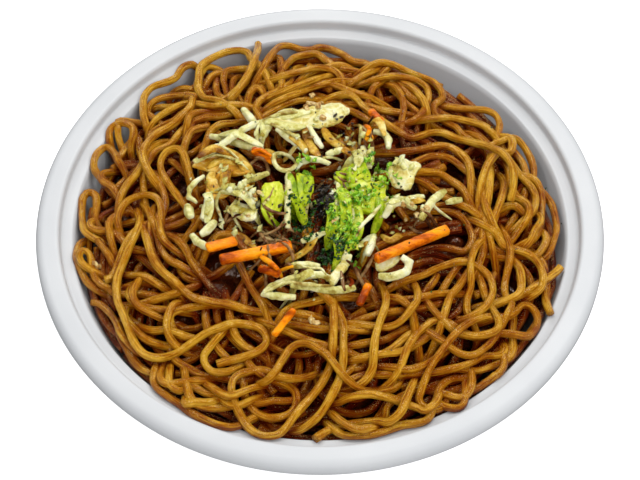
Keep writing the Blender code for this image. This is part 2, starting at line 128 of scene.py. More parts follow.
# Visible noodles, from the lowest to the highest: the places in plan that each strand passes. CUT marks
# an end that is cut and shows, and the other ends are hidden in the heap.
CUT = "cut"
ROUTES = (
    # Back left.
    ((-60, 54), (-56, 52), (-52, 50.5)),
    ((-53, 63), (-49.5, 61.5), (-45.5, 60)),
    ((-60, 45.5), (-63.5, 49.5), (-63, 54.5), (-59.5, 57.5), (-54.5, 58), (-50, 57)),
    ((-68.5, 44.5), (-68, 40), (-66, 36), (-65.5, 31)),
    ((-76, 46), (-71.5, 46.2), (-68, 45.5), (-64, 45)),
    ((-69, 34), (-68, 38), (-69, 42), (-72.5, 44.2), (-76, 43), (-77.2, 40), (-76.7, 35.5)),
    ((-76, 15), (-79, 20.5), (-81.8, 25), (-81, 30.5), (-78, 34), (-74.8, 31), (-73, 26.5), (-70.4, 22)),
    ((-78, 17), (-74.2, 14), (-71.6, 9.5)),
    ((-80, 2), (-79.5, 7), (-80.5, 13), (-83.5, 14.5), (-85, 11), (-84.8, 5), (-83.5, -3)),
    ((-32.5, 64), (-32.5, 59.5), (-31, 55.5)),
    ((-38, 67), (-38.7, 62), (-38, 57), (-36, 53.5)),
    ((-43, 63), (-40, 67), (-36, 68)),
    ((-26.5, 66.5), (-28, 61.5), (-30.5, 57), (-33.5, 53), (-38.5, 50.5)),
    ((-35, 59.5), (-36, 64), (-35, 68), (-30.5, 69.7), (-25.5, 69.7), (-21, 69), (-17.8, 66.5), (-16, 62),
     (-15.3, 57)),
    ((-65, 47), (-65.3, 52), (-65.3, 57), (-62.8, 61.5), (-58.3, 64), (-54, 67), (-51.4, 71.5), (-48, 73),
     (-45, 72)),
    ((-44, 71), (-45, 67), (-45.7, 62), (-44.4, 57), (-42.5, 53), (-39, 50.5)),
    ((-45, 70), (-40.6, 76), (-36, 79), (-31, 80.3), (-27.3, 78.5), (-26, 74.7), (-24, 71)),
    (CUT, (-23.5, 83.5), (-23.5, 78.5), (-24, 72)),
    ((-18.4, 76), (-15.3, 75), (-14.6, 69.5), (-14, 64.5), (-14, 59.5)),
    ((-12, 71.5), (-9.6, 75.4), (-5, 77.3), (-1.2, 77.5), (2.6, 74), (6.5, 70.3), (11.5, 68.4), (16, 67)),
    ((-17.2, 77), (-15.3, 81.5), (-11.5, 83.4), (-7, 82.3), (-3.2, 82.4), (0, 83.6), (4.5, 81.7),
     (8.3, 78), (12, 73.5), (16.5, 72.2), (20, 70.3)),
    ((-62, 7), (-62.8, 12.7), (-62.8, 19), (-61.5, 24), (-59, 28), (-54.5, 30.5), (-51.5, 35)),
    ((-71.6, 1), (-71, 6.5), (-69, 12.7), (-65.3, 17.7), (-63.4, 22), (-62, 27)),
    ((-49.5, 19), (-52, 22), (-54, 23.5), CUT),
    ((-56, 11), (-54.5, 5), (-55, 0)),
    ((-61, 33.5), (-62, 38), (-58.3, 41), (-53.3, 43), (-49.5, 48)),
    ((-47, 38), (-46.3, 40.5), (-42, 42.4), (-36, 43), (-30, 44.5), CUT),
    ((-48.5, 36), (-46.8, 43), (-41, 45), (-35, 45.8), (-28.8, 47), CUT),
    ((-62, 42.5), (-58.3, 46), (-53.3, 48.8), (-48.8, 50), (-44.4, 48.8), (-39.3, 46.2), (-34.5, 46.3)),
    ((-49, 54.5), (-47, 52), (-47, 47), (-49.5, 43), (-54.5, 38.6), (-58.3, 36), (-61, 32.3),
     (-63, 27.5)),
    ((-42, 19.5), (-42, 24.7), (-40.6, 30.4), (-39.3, 34.8), (-36, 38), (-31, 38.6), (-27, 39.3)),
    ((-45.7, 10.8), (-47, 16.5), (-48.8, 22), (-48.8, 28), (-47.6, 33), (-45.7, 36), (-40.3, 38.6), CUT),
    ((-50.7, 6.3), (-54, 12.7), (-56.4, 17.7), (-57, 22), (-55, 26), (-51.4, 26.6), (-48.8, 23.4),
     (-47, 17.7), (-45.7, 12.7), (-44.4, 9)),
    ((-27, 43), (-26.7, 48), (-26, 54), (-24, 57), (-21.6, 56.4), (-20.3, 53.8)),
    ((-21, 38.6), (-16.5, 39.3), (-11.5, 41.2), (-7, 43.7), (-5, 45)),
    ((-19.7, 41.8), (-15.3, 45), (-12, 48), (-8.3, 50), (-3, 50.7)),
    ((-19.7, 45.6), (-14.6, 48), (-10, 51.3), (-6.4, 54.5), (-1.3, 57.6), (3.7, 59.5)),
    ((-9.6, 57), (-7, 61.4), (-4, 64.6), (-0.7, 67), (3.7, 69.7)),
    ((-22, 40.5), (-23.5, 45.6), (-22, 50), (-18.4, 53.2), (-14, 55.7), (-10.8, 59.5), (-10.2, 63.3),
     (-10.2, 68)),
    ((-71, 1), (-69, 5), (-66, 7), (-61.5, 7.6), (-57.7, 5.7), (-55.8, 1), (-55.5, -4)),
    # Back right.
    ((18.4, 53), (19.7, 57.5), (21.6, 60)),
    ((12, 53), (16.5, 51.3), (20.3, 50.7)),
    ((17.8, 47), (23, 45.6), (28, 45)),
    ((1.3, 47), (6.4, 47.5), (10.8, 45), (16, 41.2)),
    ((30.5, 58), (33, 54), (36, 52)),
    ((24.8, 60.8), (28.6, 56.4), (30.5, 50.7), (30.5, 45.6), (29.8, 41.2)),
    ((26.7, 64.6), (30.5, 60.8), (34.3, 57), (36.8, 53)),
    ((-5, 57), (-1, 60.2), (2, 63.3), (5, 65.2)),
    ((-6, 64), (-0.6, 66.5), (4.5, 65.9), (7.7, 62.7), (8.3, 57.6), (7.7, 53)),
    ((11.5, 60.8), (15.3, 63.3), (19, 66.5), (23, 70), (22, 75), CUT),
    (CUT, (27.5, 74.5), (26, 70), (22.5, 66)),
    ((24, 70.5), (28, 69.7), (33, 67.8), (38, 65.9), (42.5, 62.7), (45, 58.3), (45, 53.8), (42, 50),
     (42, 46.2), (45.7, 42.4), (49.5, 40), (52, 36), (56.4, 31.7), (60.2, 28)),
    ((45.7, 51), (50.7, 49.4), (55.8, 50), (61, 50.7), (64.7, 48.8), (66, 44.3), (65.3, 40)),
    ((44.4, 42.4), (49.5, 43), (54.5, 43), (59.6, 41.8), (62.8, 38.6), (65.3, 34.8), (67.8, 29.8)),
    ((68.5, 36.7), (69.7, 31.7), (73, 26), (74.2, 20.3)),
    ((67, 34.8), (71, 36.7), (74.2, 34.2), (76.7, 29), (77.3, 24), (76.7, 19)),
    ((79, 16), (81, 13), (83, 9), (83.8, 3), (83.5, -3), (82, -8), (80, -13)),
    ((78.6, 16), (79.2, 9.5), (78.6, 3), (77.5, -3), (75.4, -8)),
    ((67.8, 19.6), (67.8, 14.6), (69.7, 10), (73, 6.3)),
    ((62, 0.5), (65.3, 3.8), (69, 5), (71, 3.2)),
    ((58.3, 11.4), (57, 6.3), (56.4, 0.5), (57.5, -5)),
    ((60.2, 28), (61, 22), (60.9, 15.8), (59, 10.8), (57.5, 5), (58.5, -1)),
    ((33.6, 11.4), (38, 9), (42, 5.7), (45.7, 3.2), (50.7, 0.6)),
    ((33, 12.7), (37.4, 14), (42, 14.6), (46.3, 12), (50, 9), (52, 4.4)),
    ((34.3, 20.3), (38, 22.8), (42.5, 24), (47, 22.8), (50.7, 19.6), (54, 15.2), (55, 9)),
    ((26.7, 24), (31, 24.7), (35.5, 26), (40, 27.2), (44.4, 28), (48.2, 26.6), (52, 22.2), (53.3, 17),
     (53.3, 10.8)),
    ((60, 14.6), (60.2, 19.6), (61.5, 24.7), (64.7, 27.2), (68.5, 28), (70, 33)),
    ((62, 22), (64, 24.7), (67.8, 22.8), (71.6, 18.4), (75.4, 14), (76.7, 9), (75.4, 3.8), (73, 0.5)),
    ((21, 36.7), (26.7, 37.4), (32.4, 39.3), (36.2, 43), (38.7, 48), (40, 53.8), (39.3, 59), (35.5, 62),
     (30, 62.7)),
    ((1, 49.4), (6.4, 51.3), (11.5, 50.7), (16, 45.6), (20.3, 40.5), (23.5, 36.7), (28, 34.2),
     (32.4, 31.7), (36.2, 33), (40, 35.5), (44.4, 36), (48.8, 33.6), (54, 31), (58.3, 28), (61.5, 24.5)),
    # Front left.
    ((-85, -8), (-84.8, -15), (-81, -24), (-76.7, -28)),
    ((-76, -26.5), (-78, -23.4), (-79.2, -18.4), (-80.5, -14), (-83, -13.3), (-84.5, -17)),
    ((-78.6, -4.4), (-73.5, -5), (-69, -9.5), (-66.6, -13.3), (-61.5, -15.2)),
    ((-74.2, -4.4), (-73, -9.5), (-71.6, -14.6)),
    (CUT, (-78, -8.2), (-75.4, -12.7), (-73, -16.5), (-71.6, -19.6)),
    ((-67, -12), (-69.7, -19.6), (-71.6, -24.7), (-74.2, -26), CUT),
    ((-68.5, -45.6), (-64.7, -52.6), (-60.2, -59), (-54.5, -62)),
    ((-56, -66.5), (-52, -70.3), (-47, -74), (-42, -78), (-35.5, -81.5), (-30.5, -83), (-26, -83)),
    ((-44.4, -69), (-44.6, -77.5)),
    ((-52.6, -59), (-53.3, -63.3), (-52.6, -66.5)),
    ((-42, -75.4), (-36.8, -76), (-31, -75.4), (-26, -74.7)),
    ((-46, -71), (-43, -68), (-38, -70.5), (-33, -72.7), (-30, -76)),
    ((-38.7, -66), (-35.5, -69.7), (-31.7, -73.5)),
    ((-68.5, -32.3), (-63.4, -32.3), (-58.3, -33.6), (-52.6, -36), (-52, -39.5)),
    ((-67.8, -36), (-62.8, -36.7), (-57, -36.7)),
    ((-61, -38.6), (-55.8, -40), (-50.7, -40.5)),
    ((-59.6, -41.2), (-54.5, -43), (-50.7, -43.7)),
    ((-68, -29), (-63, -28), (-58, -28.5)),
    ((-66, -24), (-62, -25.5), (-57, -29)),
    ((-35, -41), (-34.3, -45.6), (-32.4, -48), (-29, -52)),
    ((-31, -41), (-29.8, -47), (-28, -52), (-25, -55), (-22, -56.5)),
    ((-38.7, -41), (-38, -47), (-36.2, -50.7), (-34.3, -55), (-30.5, -59)),
    ((-48.2, -58.3), (-44.4, -60.8), (-40, -63.3), (-34, -64.5), (-28, -66)),
    ((-36.8, -55.7), (-38.7, -58.3), (-38, -61.4), (-35, -64), (-29.8, -63.3), (-27.5, -61.5)),
    ((-39, -40.5), (-44.4, -40.5), (-49.5, -42), (-50.7, -44.5), (-49.5, -47.5), (-47, -50)),
    ((-47, -37.4), (-49.5, -40.5), (-50.9, -44)),
    ((-66, -40.5), (-61.5, -44.3), (-57, -47), (-52, -48), (-47, -50), (-41, -51)),
    ((-66, -43), (-60, -49), (-54, -52), (-47, -53)),
    (CUT, (-78.6, -32.3), (-75.4, -33.6), (-71.6, -38), (-69, -43), (-67, -48), (-62, -54)),
    ((-59, -2), (-59, -7), (-59, -12.7), (-57, -19), (-53.3, -26.6), (-50, -31)),
    ((-57, -9), (-54.5, -17), (-51.4, -21.5), (-47.6, -24), (-43.8, -26)),
    ((-56, -7), (-54.5, -12.7), (-50.7, -16.5), (-45.7, -20.3)),
    ((-45.7, -19), (-43.8, -23.4), (-41.2, -27.2), (-38, -31.5)),
    ((-38.5, -17), (-35.3, -13), (-30.2, -13), (-27, -17)),
    ((-25, -30.6), (-23, -35), (-20.5, -39)),
    ((-63.4, -1), (-61.5, -7.6), (-59.6, -14), (-57.7, -20.3), (-54, -27), (-49.5, -31.3), (-43, -38),
     (-38, -40), (-30, -41.3), (-20.3, -43), (-12, -43.7)),
    ((-65.5, -14), (-69, -24), (-69.7, -28.5), (-69, -35.5), (-67.2, -40.5), (-64.7, -47), (-62, -52.6),
     (-58.3, -56.4), (-53.3, -57.6), (-48.2, -56.4), (-43, -53.2), (-38, -50.7), (-33, -49.4),
     (-28, -48.2), (-23, -48.2), (-19.5, -49.6), (-17.8, -53.6), (-19.8, -57), (-24, -58.9),
     (-29.8, -60.2), (-34.3, -61.4), CUT),
    # Front right.
    ((78, -1.3), (75.4, -5.7), (74, -9.5)),
    ((73, -1.3), (69.7, -5.7), (67, -10)),
    ((62, -0.6), (60.2, -5), (59, -9)),
    ((79.5, -9), (75.4, -14.6), (71.6, -15.2)),
    ((56.4, -11.4), (56.4, -15.8), (55.2, -20.3)),
    ((78, -17), (78.4, -25.3), (77.5, -31.7), (78.6, -39), CUT),
    ((65.9, -39.3), (65.3, -44.3), (65.3, -49.4), (65.3, -53.8)),
    ((66, -40), (69, -35.5), (72.3, -35.5), (74.2, -39.3), (73.5, -43.7), (70.4, -47.5), (67, -47.5)),
    (CUT, (83.7, -19), (80.5, -22.8), (76, -26.6), (71, -30.4), (65.9, -34.2)),
    ((50, -68.4), (54, -66), (58.3, -63.3), (62, -60.2)),
    ((48.8, -64), (43.8, -64.6), (40, -67.8), (38.7, -71.6), (40.6, -74.7), (45, -76), (49, -74)),
    ((42, -70.3), (45.7, -71.6), (49.5, -71.4)),
    ((40.6, -62.7), (45.7, -61.4), (52, -60.8), (58.3, -58.3), (62.8, -56.4)),
    ((10, -66.5), (15.3, -64.6), (20.3, -65.2), (26.7, -65.2), (33, -64), (39.3, -63.3), (45.7, -62),
     (50.7, -59), (55.2, -55.7), (59.6, -55.7)),
    ((10, -72.8), (16, -71.6), (22.2, -70.3)),
    ((21.6, -79), (22.2, -75.4), (26, -72.2), (30.5, -69.7), (34.3, -67)),
    ((7, -86.4), (11.5, -86.4), (16.5, -86), (21.6, -84.5), (26.7, -82.3), (31.7, -81.7), (37, -80)),
    ((11.5, -86), (16, -84.5), (19.7, -82.3)),
    ((-13.4, -82.3), (-5.8, -81), (0.6, -77.3), (4.4, -71)),
    ((10, -55), (16, -53.8), (21.6, -52.6), (26, -50)),
    ((20.3, -58.3), (24, -56.4), (27.3, -53.2)),
    ((19.7, -59.5), (25.4, -58.3), (30.5, -55), (35.5, -50.7)),
    ((19.7, -62), (24.8, -63.3), (29.8, -64), (34.3, -62), (38, -59), (42, -55.7)),
    ((30.5, -53.8), (32.4, -50.7), (35.5, -47.5), (38.7, -45.3), (42.5, -45), (47, -47.5)),
    ((14, -45.6), (20.3, -43.7), (26.7, -43), (33, -41.2), (41.2, -38), CUT),
    ((28, -38.6), (33, -38), (38, -36), (43.8, -34.8)),
    ((23, -37.4), (26.7, -39.3), (30.5, -43), (31.7, -48)),
    ((8.3, -47.5), (12.7, -48), (17.8, -48.8), (23, -49.4), (26.7, -48), (29.8, -45), (32.4, -41),
     (33, -36.7), (32.4, -32.3)),
    ((50.7, -25.3), (48.8, -29), (46.3, -33.6), (43.8, -37.4), (42, -43)),
    ((51.4, -26.6), (51.4, -31.7), (50, -36), (50, -40.5), (52, -44.3)),
    ((69, -31), (69, -22.8), (66.6, -19), (62.3, -17.6)),
    ((65.5, -20), (63.4, -28.5), (63.4, -33.6), (65.3, -37), (63.4, -41.2), (61, -45.6), (58.3, -50),
     (55.2, -53.8), (51.4, -57), (47, -57), (43.5, -55)),
    ((55.2, -28), (56.4, -34.2), (58.3, -38.6), (60.2, -43.7), (59.6, -47.5), (55.8, -49.4), (50.7, -50),
     (45.7, -49.4), (42, -46.5)),
    ((30, -30.4), (35.5, -28), (40.6, -25.3), (45.7, -22.8), (50.7, -21.8), (55.2, -23.4), (58.3, -27.2),
     (59, -32.3), (57.7, -37)),
    (CUT, (57.7, -43), (54, -43.7), (50, -46.2), (46.3, -50), (43, -53.8), (40.6, -57), (38, -60.8),
     (35.5, -65.2), (33.6, -69.7), (32.6, -73), (34.3, -75.4), (39.3, -76.6)),
    ((40.6, -1.3), (45.7, -1.3), (50, -3.8), (52.6, -9), (52.6, -13.3), (50, -17), (45.7, -16.5)),
    ((53.3, -3.8), (56.4, -7), (61, -10), (64, -14), (67.8, -14.6), (72.3, -15.8), (75.4, -19),
     (76.7, -23.4), (76.7, -28.5)),
    # Front middle.
    ((-19.7, -74.7), (-15.3, -73.5), (-10.8, -73.5)),
    ((-7.7, -48), (-1.3, -49.4), (5, -50)),
    ((-14.6, -49.4), (-12.7, -45.6), (-8.3, -41.8), (-3.2, -40.5), (5, -38.6)),
    ((-10, -51.3), (-5.8, -53.2), (-1.3, -55), (4.5, -57), (9.6, -57.6), (14, -59.5)),
    ((-25.4, -66.5), (-24.8, -71.6), (-23, -75.4), (-19.7, -78.5), (-15.3, -79.8), (-10.2, -78.5),
     (-7.7, -74.7), (-8.3, -70.3), (-12, -67.8), (-17, -66.5)),
    ((5.8, -74.7), (10.8, -74), (16.5, -72.8), (22.2, -73.5), (28, -75.4), (33, -77.3), (34.5, -79.5)),
    (CUT, (-1.5, -87.5), (0.7, -85), (3.2, -83), (7, -81.4), (12.7, -80.6), (19, -81), (23, -83.5)),
    ((2.5, -40), (5.8, -44.3), (7.7, -49.4), (7.7, -54.5), (7.7, -60.8), (7, -66), (5, -71.6), (2, -76.6),
     (-1.2, -80.4), (-6, -83.5)),
    ((21.6, -34.8), (22.2, -40.5), (20.3, -47.5), (18.4, -53.8), (17.8, -59.5), (17.2, -64.6),
     (14, -68.4), (9, -70)),
    ((-15.3, -66.3), (-19, -64), (-23.5, -64), (-28, -66), (-29.3, -69.7), (-28.2, -74.7), (-26, -79.8),
     (-23, -84), (-19, -86.2), (-14.6, -86.2), (-11.5, -84), (-8.3, -79.8), (-5, -75.4), (-1.3, -71),
     (1.8, -66.5), (3.7, -62), (4.2, -57)),
    (CUT, (-20.3, -68.4), (-17.2, -68.4), (-14.6, -66), (-12.7, -62), (-10.2, -57.6), (-7, -55.7),
     (-3.2, -56.4), (1.2, -59.5), (4, -63)),
)


# --- Shapes ---------------------------------------------------------------------------------------


def object_from(name, data):
    made = bpy.data.objects.new(name, data)
    bpy.context.scene.collection.objects.link(made)
    return made


def quick_mesh(name, points, quads, caps=()):
    """A smooth-shaded mesh from arrays: points, four-cornered faces, and lists of corners for the caps."""
    mesh = bpy.data.meshes.new(name)
    mesh.vertices.add(len(points))
    mesh.vertices.foreach_set("co", np.asarray(points, np.float32).ravel())
    corners = np.asarray(quads, np.int32).ravel()
    sizes = np.full(len(quads), 4, np.int32)
    if len(caps):
        corners = np.concatenate([corners, np.concatenate(caps).astype(np.int32)])
        sizes = np.concatenate([sizes, np.array([len(c) for c in caps], np.int32)])
    mesh.loops.add(len(corners))
    mesh.loops.foreach_set("vertex_index", corners)
    mesh.polygons.add(len(sizes))
    mesh.polygons.foreach_set("loop_start", np.concatenate([[0], np.cumsum(sizes)[:-1]]).astype(np.int32))
    mesh.polygons.foreach_set("loop_total", sizes)
    mesh.update(calc_edges=True)
    mesh.polygons.foreach_set("use_smooth", np.ones(len(sizes), bool))
    return mesh


def mark(mesh, label, values):
    """Stores a number at each point, which the material reads."""
    mesh.attributes.new(label, "FLOAT", "POINT").data.foreach_set("value", np.asarray(values, np.float32))


def arc(centre, radius, first, last, steps):
    angles = np.radians(np.linspace(first, last, steps))
    return [(centre[0] + radius * math.cos(a), centre[1] + radius * math.sin(a)) for a in angles]


def wall_point(t):
    """(radius, height over the table) on the bowl's inner wall, from the floor at t 0 to the ledge at t 1."""
    bulge = math.sqrt(1 - (1 - t) ** 2)
    radius = FLOOR_RADIUS * U + (LEDGE_INNER - FLOOR_RADIUS) * U * (0.35 * t + 0.65 * bulge)
    ledge_z = RIM_TOP - LEDGE_DROP * U
    return radius, FLOOR_INNER + (ledge_z - FLOOR_INNER) * t


def wall_offset(t, distance):
    """A point this far outside the inner wall."""
    t = min(max(t, 0.01), 0.99)
    (r0, z0), (r1, z1) = wall_point(t - 0.01), wall_point(t + 0.01)
    along = Vector((r1 - r0, z1 - z0)).normalized()
    r, z = wall_point(t)
    return r + along.y * distance, z - along.x * distance


def bowl_profile():
    """(radius, height over the table) from the floor's middle up inside, over the rim and to the foot."""
    thick = WALL / U
    heights = np.linspace(0, 1, 22) ** 1.5
    inside = [(0, FLOOR_INNER), (0.5 * FLOOR_RADIUS * U, FLOOR_INNER)]
    inside += [wall_point(t) for t in heights]
    rim = [(LEDGE_INNER + 0.5, -LEDGE_DROP + 0.12), (LEDGE_INNER + 1.2, -LEDGE_DROP + 0.25)]
    rim += [(RIM_INNER - 1.4, -LEDGE_DROP + 0.75), (RIM_INNER - 0.7, -LEDGE_DROP + 1.0)]
    rim += arc((RIM_INNER - 0.6, -LEDGE_DROP + 1.9), 0.85, -70, 0, 4)
    rim += [(RIM_INNER + 0.35, -2.2)]
    rim += arc((RIM_INNER + 1.9, -1.5), 1.5, 178, 92, 8)
    rim += arc((100 - RIM_ROUND, -RIM_ROUND), RIM_ROUND, 90, 0, 12)
    rim += [(100, -SKIRT_FOOT + 0.3), (99.9, -SKIRT_FOOT)]
    rim += [(100 - thick + 0.1, -SKIRT_FOOT), (100 - thick, -4.7)]
    rim += arc((100 - RIM_ROUND, -RIM_ROUND), RIM_ROUND - thick, 0, 90, 6)
    rim += [(RIM_INNER + 2.2, -thick), (RIM_INNER + 2.2, -LEDGE_DROP - 0.6)]
    rim += [(RIM_INNER + 1, -LEDGE_DROP - thick)]
    outside = [wall_offset(t, WALL) for t in heights[:0:-1]]
    outer, inner = FOOT_OUTER * U, FOOT_INNER * U
    foot = [(outer + 0.0006, BASE_RECESS * 0.6), (outer, 0.0003), (outer - 0.0003, 0)]
    foot += [(inner + 0.0003, 0), (inner, 0.0003), (inner - 0.0012, BASE_RECESS)]
    return inside + [(r * U, RIM_TOP + z * U) for r, z in rim] + outside + foot + [(0, BASE_RECESS)]


def make_bowl():
    """The bowl again, at the CAD bowl's sizes, with finer turning and rounded edges."""
    steps = 192
    profile = np.array(bowl_profile())
    inner = profile[1:-1]
    angles = np.linspace(0, 2 * math.pi, steps, endpoint=False)
    rings = np.stack([np.outer(np.cos(angles), inner[:, 0]), np.outer(np.sin(angles), inner[:, 0]),
                      np.tile(inner[:, 1], (steps, 1))], axis=2)
    points = rings.reshape(-1, 3)
    count = len(inner)
    i, j = np.meshgrid(np.arange(steps), np.arange(count - 1), indexing="ij")
    a, b = i * count + j, (i + 1) % steps * count + j
    quads = np.stack([a, b, b + 1, a + 1], axis=2).reshape(-1, 4)
    caps = [np.arange(steps)[::-1] * count, np.arange(steps) * count + count - 1]
    return object_from("bowl_fine", quick_mesh("bowl_fine", points, quads[:, ::-1], [c[::-1] for c in caps]))


class Field:
    """The height of what has been laid so far, in U from the rim's top, on a square grid of cells."""

    def __init__(self):
        self.line = np.arange(-FIELD_HALF, FIELD_HALF + CELL / 2, CELL)
        self.x, self.y = np.meshgrid(self.line, self.line, indexing="ij")
        reach = np.hypot(self.x, self.y)
        table = np.array([wall_point(t) for t in np.linspace(0, 1, 60)])
        bowl = np.interp(reach, table[:, 0] / U, (table[:, 1] - RIM_TOP) / U)
        bowl[reach > LEDGE_INNER] = -LEDGE_DROP
        bowl[reach > RIM_INNER] = 0
        self.bowl = bowl
        self.target = heap_height(self.x, self.y)
        self.core = self.target - CORE_DEPTH
        for (x, y), radius, rise in POOLS:
            near = np.hypot(self.x - x, self.y - y) / radius
            self.core += rise * np.exp(-near**4)
        self.top = np.maximum(bowl, self.core)
        self.ceiling = np.full_like(bowl, OPEN)

    def cells(self, x, y):
        last = len(self.line) - 1
        return (np.clip(np.round((x + FIELD_HALF) / CELL), 0, last).astype(int),
                np.clip(np.round((y + FIELD_HALF) / CELL), 0, last).astype(int))

    def look(self, grid, x, y):
        return grid[self.cells(x, y)]

    def rest_height(self, grid, xy, half):
        """The lowest height of a strand's middle at each place, so that it clears the grid below."""
        best = np.full(len(xy), -OPEN)
        for dx, dy, rise in footprint(half):
            best = np.maximum(best, self.look(grid, xy[:, 0] + dx, xy[:, 1] + dy) + rise)
        return best

    def lowest_over(self, xy, half):
        """The greatest height of a strand's middle at each place, so that it stays under the ceiling."""
        best = np.full(len(xy), OPEN)
        for dx, dy, rise in footprint(half):
            best = np.minimum(best, self.look(self.ceiling, xy[:, 0] + dx, xy[:, 1] + dy) - rise)
        return best

    def blur(self, reach):
        """Notes the mean top within so many cells of each cell."""
        grid = self.top
        for axis in (0, 1):
            grid = sum(np.roll(grid, k, axis) for k in range(-reach, reach + 1)) / (2 * reach + 1)
        self.mean = grid

    def add(self, centres, half):
        """Raises the top to a strand through these places."""
        for dx, dy, rise in footprint(half):
            cells = self.cells(centres[:, 0] + dx, centres[:, 1] + dy)
            np.maximum.at(self.top, cells, centres[:, 2] + rise)


def footprint(half):
    """The cells that a round strand covers from its middle, and how high it stands over each."""
    steps = np.arange(-half, half + 0.01, CELL)
    return [(dx, dy, math.sqrt(half**2 - dx**2 - dy**2)) for dx in steps for dy in steps
            if dx**2 + dy**2 <= half**2]


def heap_height(x, y):
    """The heap's smooth top: a low dome, highest at the middle."""
    share = np.clip(1 - (np.hypot(x, y) / HEAP_RADIUS) ** HEAP_POWER, -0.2, None)
    return HEAP_EDGE + (HEAP_PEAK - HEAP_EDGE) * share


def sauced(x, y):
    """How much the sauce darkens the noodles there: most in the pools, then round the vegetables."""
    most = 5.5
    amount = 0.9 * np.exp(-((x + 2) ** 2 + y**2) / 36**2)
    amount = amount + 4 * np.exp(-(((x - 1) / 8) ** 2) - ((y + 3) / 15) ** 2)
    # A pool's stain reaches as far along x as its radius and along y as its rise, and a tenth more.
    for (pool_x, pool_y), radius, rise in POOLS:
        stain = ((x - pool_x) / (1.1 * radius)) ** 2 + ((y - pool_y) / (1.1 * rise)) ** 2
        amount = amount + most * np.exp(-stain)
    return np.minimum(amount, most)


def even_route(places, step):
    """Points a step apart along a Catmull-Rom curve through the places."""
    places = np.array(places, float)
    knots = np.vstack([2 * places[0] - places[1], places, 2 * places[-1] - places[-2]])
    t = np.linspace(0, 1, 12, endpoint=False)[:, None]
    fine = []
    for a, b, c, d in zip(knots, knots[1:], knots[2:], knots[3:]):
        fine.append(0.5 * (2 * b + (c - a) * t + (2 * a - 5 * b + 4 * c - d) * t**2
                           + (3 * b - a - 3 * c + d) * t**3))
    fine = np.vstack([*fine, places[-1:]])
    return respaced(fine, step)


def respaced(line, step):
    """The same line with its points an even step apart."""
    run = np.concatenate([[0], np.cumsum(np.linalg.norm(np.diff(line, axis=0), axis=1))])
    even = np.linspace(0, run[-1], max(4, int(round(run[-1] / step)) + 1))
    return np.stack([np.interp(even, run, line[:, k]) for k in range(line.shape[1])], axis=1)


def draped(run, rest):
    """Heights of a soft strand over its rests: it hangs between them in curves of one tightest bend."""
    bent = rest - SAG * run**2
    hull = [0]
    for i in range(1, len(run)):
        while len(hull) > 1:
            a, b = hull[-2], hull[-1]
            if (bent[b] - bent[a]) * (run[i] - run[a]) >= (bent[i] - bent[a]) * (run[b] - run[a]):
                break
            hull.pop()
        hull.append(i)
    return np.interp(run, run[hull], bent[hull]) + SAG * run**2


def softened(line, passes):
    """The line averaged with its neighbours, between its ends."""
    for _ in range(passes):
        line = line.copy()
        line[1:-1] = 0.25 * line[:-2] + 0.5 * line[1:-1] + 0.25 * line[2:]
    return line


def widest(xy):
    """How far out the lower strands go: less at the back, where the bowl's wall shows past the heap."""
    return 81.8 - 3.0 * np.clip(xy[..., 1] / 30, -0.8, 1)


def wander(rng, start, heading, length, tight):
    """A curly route in plan that keeps inside the bowl."""
    steps = int(length)
    place, routes = np.array(start, float), []
    bend, wanted, left = 0.0, 0.0, 0
    for _ in range(steps):
        if left <= 0:
            left = rng.integers(8, 34)
            wanted = rng.normal(0, tight)
            if rng.random() < CURL_CHANCE:
                wanted = rng.choice([-1, 1]) * rng.uniform(*CURL_BENDS)
        left -= 1
        bend += (wanted - bend) * 0.22
        reach = math.hypot(*place)
        turn = bend
        if reach > WALL_FELT:
            outward = math.atan2(place[1], place[0])
            off = math.remainder(heading - outward, 2 * math.pi)
            push = min((reach - WALL_FELT) / 16, 1.4) * math.cos(off)
            if push > 0:
                turn += 0.22 * push * (1 if off > 0 else -1)
        heading += turn
        place = place + (math.cos(heading), math.sin(heading))
        place *= min(1, widest(place) / math.hypot(*place))
        routes.append(place.copy())
    return np.array(routes)


def lay(field, xy, half, floor=None):
    """The strand's middle line, laid over the field in plan at xy."""
    run = np.concatenate([[0], np.cumsum(np.linalg.norm(np.diff(xy, axis=0), axis=1))])
    rest = field.rest_height(field.top, xy, half) - 0.25
    if floor is not None:
        rest = np.maximum(rest, floor)
    height = draped(run, softened(rest, 2))
    height = np.minimum(softened(height, 3), field.lowest_over(xy, half) - 0.1)
    wall = field.rest_height(field.bowl, xy, half)
    height = np.maximum(softened(height, 2), wall)
    return np.column_stack([xy, height])


